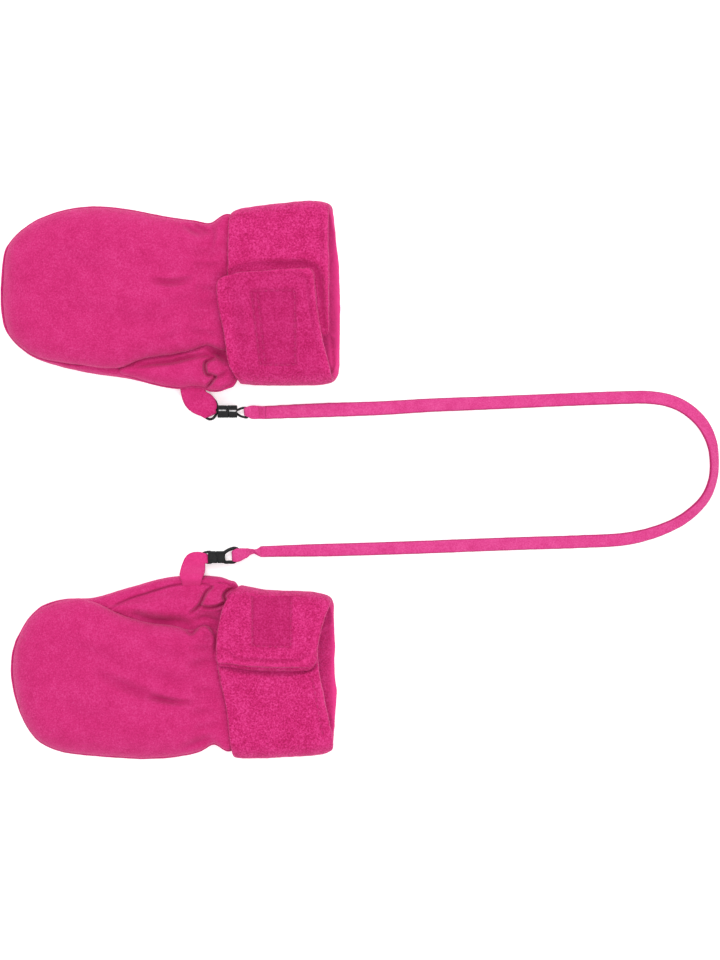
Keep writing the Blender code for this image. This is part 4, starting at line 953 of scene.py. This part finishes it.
def make_strip(node, rows, material):
    """A narrow piece of cloth for its node: soft, grooved where it is sewn, with painted shade in its grooves
    and along its edges.
    """
    mesh, points, edges = strip_mesh(f"{node}_strip", rows, [row for row in BUNCHES if row.node == node])
    depth, tint = fold_field(node, points, 1.0)
    # Painted shade along the edges; the listed strips are paler all over
    tint += STRIP_EDGE_TONE * ease((edges - 0.86) / 0.14) - PALE_STRIPS.get(node, 0.0)
    points[:, 2] -= depth
    points += STRIP_LINT * read_noise(points, 2.3, 4)[:, None]
    points[:, 2] = np.maximum(points[:, 2], 0.0)
    write_points(mesh, points, tint)
    return add_piece(f"{node}_cloth", mesh, material, node)


def tree_of(items):
    """A search tree over the surfaces of several objects."""
    points, faces = [], []
    for item in items:
        first = len(points)
        points += [vertex.co.copy() for vertex in item.data.vertices]
        faces += [tuple(first + index for index in face.vertices) for face in item.data.polygons]
    return BVHTree.FromPolygons(points, faces)


def stitch_points(start, end, surface, thick):
    """The middle line of one stitch over a surface, its ends below it."""
    line = []
    for share in np.linspace(0.0, 1.0, 7):
        x, y = start + (end - start) * share
        found = surface.ray_cast(Vector((x * MM, y * MM, 0.05)), Vector((0.0, 0.0, -1.0)))
        if found[0] is None:
            return None
        hump = math.sin(math.pi * share) ** 0.6
        line.append((x, y, found[0].z / MM + thick * 0.55 * hump - STITCH_SINK * (1.0 - hump)))
    return np.array(line)


def add_tube(line, radius, sides, points, faces):
    """Adds a closed round tube along a line to lists of points and faces."""
    faces += loft_faces(len(line), sides, len(points))
    for place, tangent in zip(line, unit(np.gradient(line, axis=0))):
        side = np.cross(tangent, (0.0, 0.0, 1.0))
        side /= np.linalg.norm(side)
        up = np.cross(side, tangent)
        for step in range(sides):
            angle = 2.0 * math.pi * step / sides
            points.append(tuple(place + radius * (side * math.cos(angle) + up * math.sin(angle))))


def make_stitches(name, node, surface, material):
    """A node's rows of small sewn stitches as one piece."""
    points, faces = [], []
    for seam in SEAMS:
        if seam.node != node:
            continue
        line = to_mm(seam.points)
        run = run_along(line)
        for number in range(int(run[-1] / seam.pitch)):
            spans = [(number + 0.5) * seam.pitch + half * seam.length for half in (-0.5, 0.5)]
            start, end = (np.array([np.interp(at, run, line[:, axis]) for axis in (0, 1)]) for at in spans)
            middle = stitch_points(start, end, surface, seam.thick)
            if middle is not None:
                add_tube(middle, 0.5 * seam.thick, STITCH_SIDES, points, faces)
    return add_piece(name, make_mesh(name, points, faces), material)


def strap_path():
    """The strap's middle line in millimetres, with its width and its tilt at each place."""
    route = [(x + CORD_SHIFT[0], y + CORD_SHIFT[1]) for x, y in CORD_ROUTE]
    line = resample(smooth_line(route, 1.0), STRAP_STEP)
    shares, widths, tilts = np.array(STRAP_SHAPE).T
    window = np.hanning(15)
    window /= window.sum()
    evened = []
    for values in (widths, np.radians(tilts)):
        values = np.interp(np.linspace(0.0, 1.0, len(line)), shares, values)
        evened.append(np.convolve(np.pad(values, 7, mode="edge"), window, mode="valid"))
    width, tilt = evened
    height = 0.5 * width * np.sin(tilt) + 0.5 * STRAP_THICKNESS * np.cos(tilt)
    return np.column_stack([line, height + 0.02]), width, tilt


def make_strap(material):
    """The flat knitted strap with its shallow ridges and painted shade along its edges, banked round its
    bend.
    """
    line, width, tilt = strap_path()
    points, edges = [], []
    for row, (place, tangent) in enumerate(zip(line, unit(np.gradient(line, axis=0)))):
        side = np.array((-tangent[1], tangent[0], 0.0))
        side /= np.linalg.norm(side)
        up = np.cross(tangent, side)
        lean = math.cos(tilt[row]) * side - math.sin(tilt[row]) * up
        thick = math.cos(tilt[row]) * up + math.sin(tilt[row]) * side
        wave = 1.0 + 0.03 * noise.noise(Vector((row * 0.35, 2.0, 5.0)))
        for across, rise in flat_section(STRAP_SIDES, 0.45):
            ridge = 1.0 + 0.10 * math.cos(3.0 * math.pi * across)
            aside = 0.5 * (width[row] * wave) * across * lean
            points.append(place + aside + 0.5 * STRAP_THICKNESS * rise * ridge * thick)
            edges.append(float(ease((abs(across) - 0.82) / 0.12)))
    mesh = make_mesh("strap", points, loft_faces(len(line), STRAP_SIDES))
    write_points(mesh, np.array(points), EDGE_TONE * np.array(edges))
    return add_piece("strap", mesh, material, "cord"), line


def add_block(shape, corners, low, high, bevel):
    """Adds a bevelled block with this outline to a shape."""
    bottom = [shape.verts.new((x * MM, y * MM, low * MM)) for x, y in corners]
    top = [shape.verts.new((x * MM, y * MM, high * MM)) for x, y in corners]
    sides = [shape.faces.new(bottom[::-1]), shape.faces.new(top)]
    for index in range(len(corners)):
        after = (index + 1) % len(corners)
        sides.append(shape.faces.new((bottom[index], bottom[after], top[after], top[index])))
    edges = {edge for face in sides for edge in face.edges}
    bmesh.ops.bevel(shape, geom=list(edges), offset=bevel * MM, segments=3, profile=0.6, affect="EDGES")


def add_ring(shape, places, wire):
    """Adds a closed loop of round wire through places in the photograph to a shape."""
    closed = to_mm(tuple(places) + tuple(places[:3]))
    line = smooth_line(closed, 0.5)
    lengths = np.linalg.norm(np.diff(closed, axis=0), axis=1)
    counts = [max(2, math.ceil(length / 0.5)) for length in lengths]
    line = line[counts[0]:counts[0] + sum(counts[1:-1])]
    rings = []
    for place, tangent in zip(line, unit(np.roll(line, -1, axis=0) - np.roll(line, 1, axis=0))):
        ring = []
        for step in range(RING_SIDES):
            angle = 2.0 * math.pi * step / RING_SIDES
            x = place[0] + tangent[1] * 0.5 * wire * math.cos(angle)
            y = place[1] - tangent[0] * 0.5 * wire * math.cos(angle)
            ring.append(shape.verts.new((x * MM, y * MM, (RING_HEIGHT + 0.5 * wire * math.sin(angle)) * MM)))
        rings.append(ring)
    for here, there in zip(rings, rings[1:] + rings[:1]):
        for step in range(RING_SIDES):
            after = (step + 1) % RING_SIDES
            shape.faces.new((here[step], here[after], there[after], there[step]))


def box_corners(x0, y0, x1, y1):
    """The corners of an upright box in the photograph, in millimetres."""
    return to_mm(((x0, y0), (x1, y0), (x1, y1), (x0, y1)))


def make_clip(clip, black, glint_plastic):
    """The two interlocked halves of a clip, their loops and rails, and pale ribs with painted glints."""
    x0, y0, x1, y1 = clip.box
    gap = CLIP_GAP / PIXEL
    halves = {
        "clip_tab_half": (
            ((x0, y0), (clip.first, y0), (clip.first, clip.crossing), (clip.second, clip.crossing),
             (clip.second, y1), (x0, y1)),
            clip.tab_ring, clip.tab_wire, (x0 + 1.2, clip.first - 1.0),
        ),
        "clip_cord_half": (
            ((clip.first + gap, y0), (x1, y0), (x1, y1), (clip.second + gap, y1),
             (clip.second + gap, clip.crossing - gap), (clip.first + gap, clip.crossing - gap)),
            clip.cord_ring, clip.cord_wire, (clip.second + 1.2, x1 - 1.2),
        ),
    }
    made = []
    for title, (outline, ring, wire, rail_ends) in halves.items():
        shape = bmesh.new()
        add_block(shape, to_mm(outline), CLIP_BOTTOM, CLIP_BODY_TOP, 0.32)
        add_ring(shape, ring, wire)
        for y in (y0 + 1.5, y1 - 1.5):
            corners = box_corners(rail_ends[0], y - 0.8, rail_ends[1], y + 0.8)
            add_block(shape, corners, RAIL_BOTTOM, CLIP_TOP, 0.14)
        name = f"{clip.name}_{title}"
        mesh = outward_mesh(shape, bpy.data.meshes.new(name))
        made.append(add_piece(f"{name}_moulded", mesh, black, name))
        mesh.set_sharp_from_angle(angle=SHARP_EDGE)
    # Pale ribs that paint the clip's glints
    if clip.glints:
        shape = bmesh.new()
        for glint in clip.glints:
            add_block(shape, box_corners(*glint), RAIL_BOTTOM, RIB_TOP, 0.1)
        name = f"{clip.name}_clip_ribs"
        mesh = outward_mesh(shape, bpy.data.meshes.new(name))
        made.append(add_piece(name, mesh, glint_plastic))
    return made


def make_floor():
    """A plain pale studio floor."""
    material, tree, shader, vector = new_material("studio floor")
    grain = add_noise(tree, vector, 0.02, 2.0)
    colour = add_ramp(tree, grain, ((0.3, FLOOR_TONES[0]), (0.7, FLOOR_TONES[1])))
    tree.links.new(colour, shader.inputs["Base Color"])
    set_inputs(shader, {
        "Roughness": 1.0,
        "Specular IOR Level": 0.0,
        "Emission Color": WHITE,
        "Emission Strength": 0.30,
    })
    mesh = bpy.data.meshes.new("floor")
    signs = ((-1.0, -1.0), (1.0, -1.0), (1.0, 1.0), (-1.0, 1.0))
    mesh.from_pydata([(x * FLOOR_HALF, y * FLOOR_HALF, FLOOR_HEIGHT) for x, y in signs], [], [(0, 1, 2, 3)])
    mesh.materials.append(material)
    place_object("floor", mesh)


def make_camera():
    """A long lens straight above the middle of the photograph's frame."""
    camera = bpy.data.cameras.new("camera")
    camera.sensor_fit = "VERTICAL"
    camera.sensor_height = SENSOR_MM
    camera.lens = SENSOR_MM * (CAMERA_HEIGHT - FOCUS_HEIGHT) / (IMAGE[1] * PIXEL * MM)
    camera.clip_end = 10.0
    item = place_object("camera", camera)
    x, y = spot(0.5 * IMAGE[0], 0.5 * IMAGE[1])
    item.location = (x * MM, y * MM, CAMERA_HEIGHT)
    bpy.context.scene.camera = item


def make_light():
    """Even white surroundings with a soft key from the far side."""
    world = bpy.data.worlds.new("studio")
    world.use_nodes = True
    set_inputs(world.node_tree.nodes["Background"], {"Color": WHITE, "Strength": WORLD_STRENGTH})
    bpy.context.scene.world = world
    bpy.context.scene.view_settings.view_transform = "Standard"
    for name, place, size, power in LIGHTS:
        light = bpy.data.lights.new(name, "AREA")
        light.shape = "SQUARE"
        light.size = size
        light.energy = power
        item = place_object(name, light)
        item.location = place
        item.rotation_euler = (Vector(AIM) - Vector(place)).to_track_quat("-Z", "Y").to_euler()


def make_cord(cord_cloth, thread):
    """The strap with its sewn ends and both clips."""
    strap, line = make_strap(cord_cloth)
    ends = [
        make_strip("upper_cord_end", folded_rows(UPPER_END), cord_cloth),
        make_strip("lower_cord_end", turned_rows(LOWER_END, LOWER_TURN), cord_cloth),
    ]
    ends.append(make_stitches("upper_cord_end_stitches", "upper_cord_end", tree_of(ends), thread))
    black = moulded_plastic("clip plastic", BLACK_TONES)
    # Pale plastic that paints glints on the clip's ribs
    glint_plastic = moulded_plastic("painted glint plastic", GLINT_TONES)
    fittings = [piece for clip in CLIPS for piece in make_clip(clip, black, glint_plastic)]


def make_mitten(name, tab, hand_fleece, cuff_fleece, thread):
    """One mitten's panels, cuff, tab and stitches."""
    pieces = {}
    for part, cloth in CLOTHS.items():
        material = cuff_fleece if part == "cuff" else hand_fleece
        pieces[part] = make_cloth(f"{name}_{part}", material, cloth)
    pieces["hanger_tab"] = make_strip(f"{name}_hanger_tab", folded_rows(tab), hand_fleece)
    make_stitches(f"{name}_cuff_stitches", f"{name}_cuff", tree_of([pieces["cuff"]]), thread)


def main():
    """Builds the whole scene."""
    make_camera()
    thread = plain_cloth("sewing thread", HAND_TONES, 2.0)
    make_cord(plain_cloth("strap knit", CORD_TONES, 0.9), thread)
    hand_fleece = fleece("hand fleece", HAND_TONES, 0.9, 0.10, 0.27)
    cuff_fleece = fleece("cuff fleece", CUFF_TONES, 1.15, 0.34, 0.20)
    make_mitten("upper", UPPER_TAB, hand_fleece, cuff_fleece, thread)
    make_mitten("lower", LOWER_TAB, hand_fleece, cuff_fleece, thread)
    make_floor()
    make_light()


main()
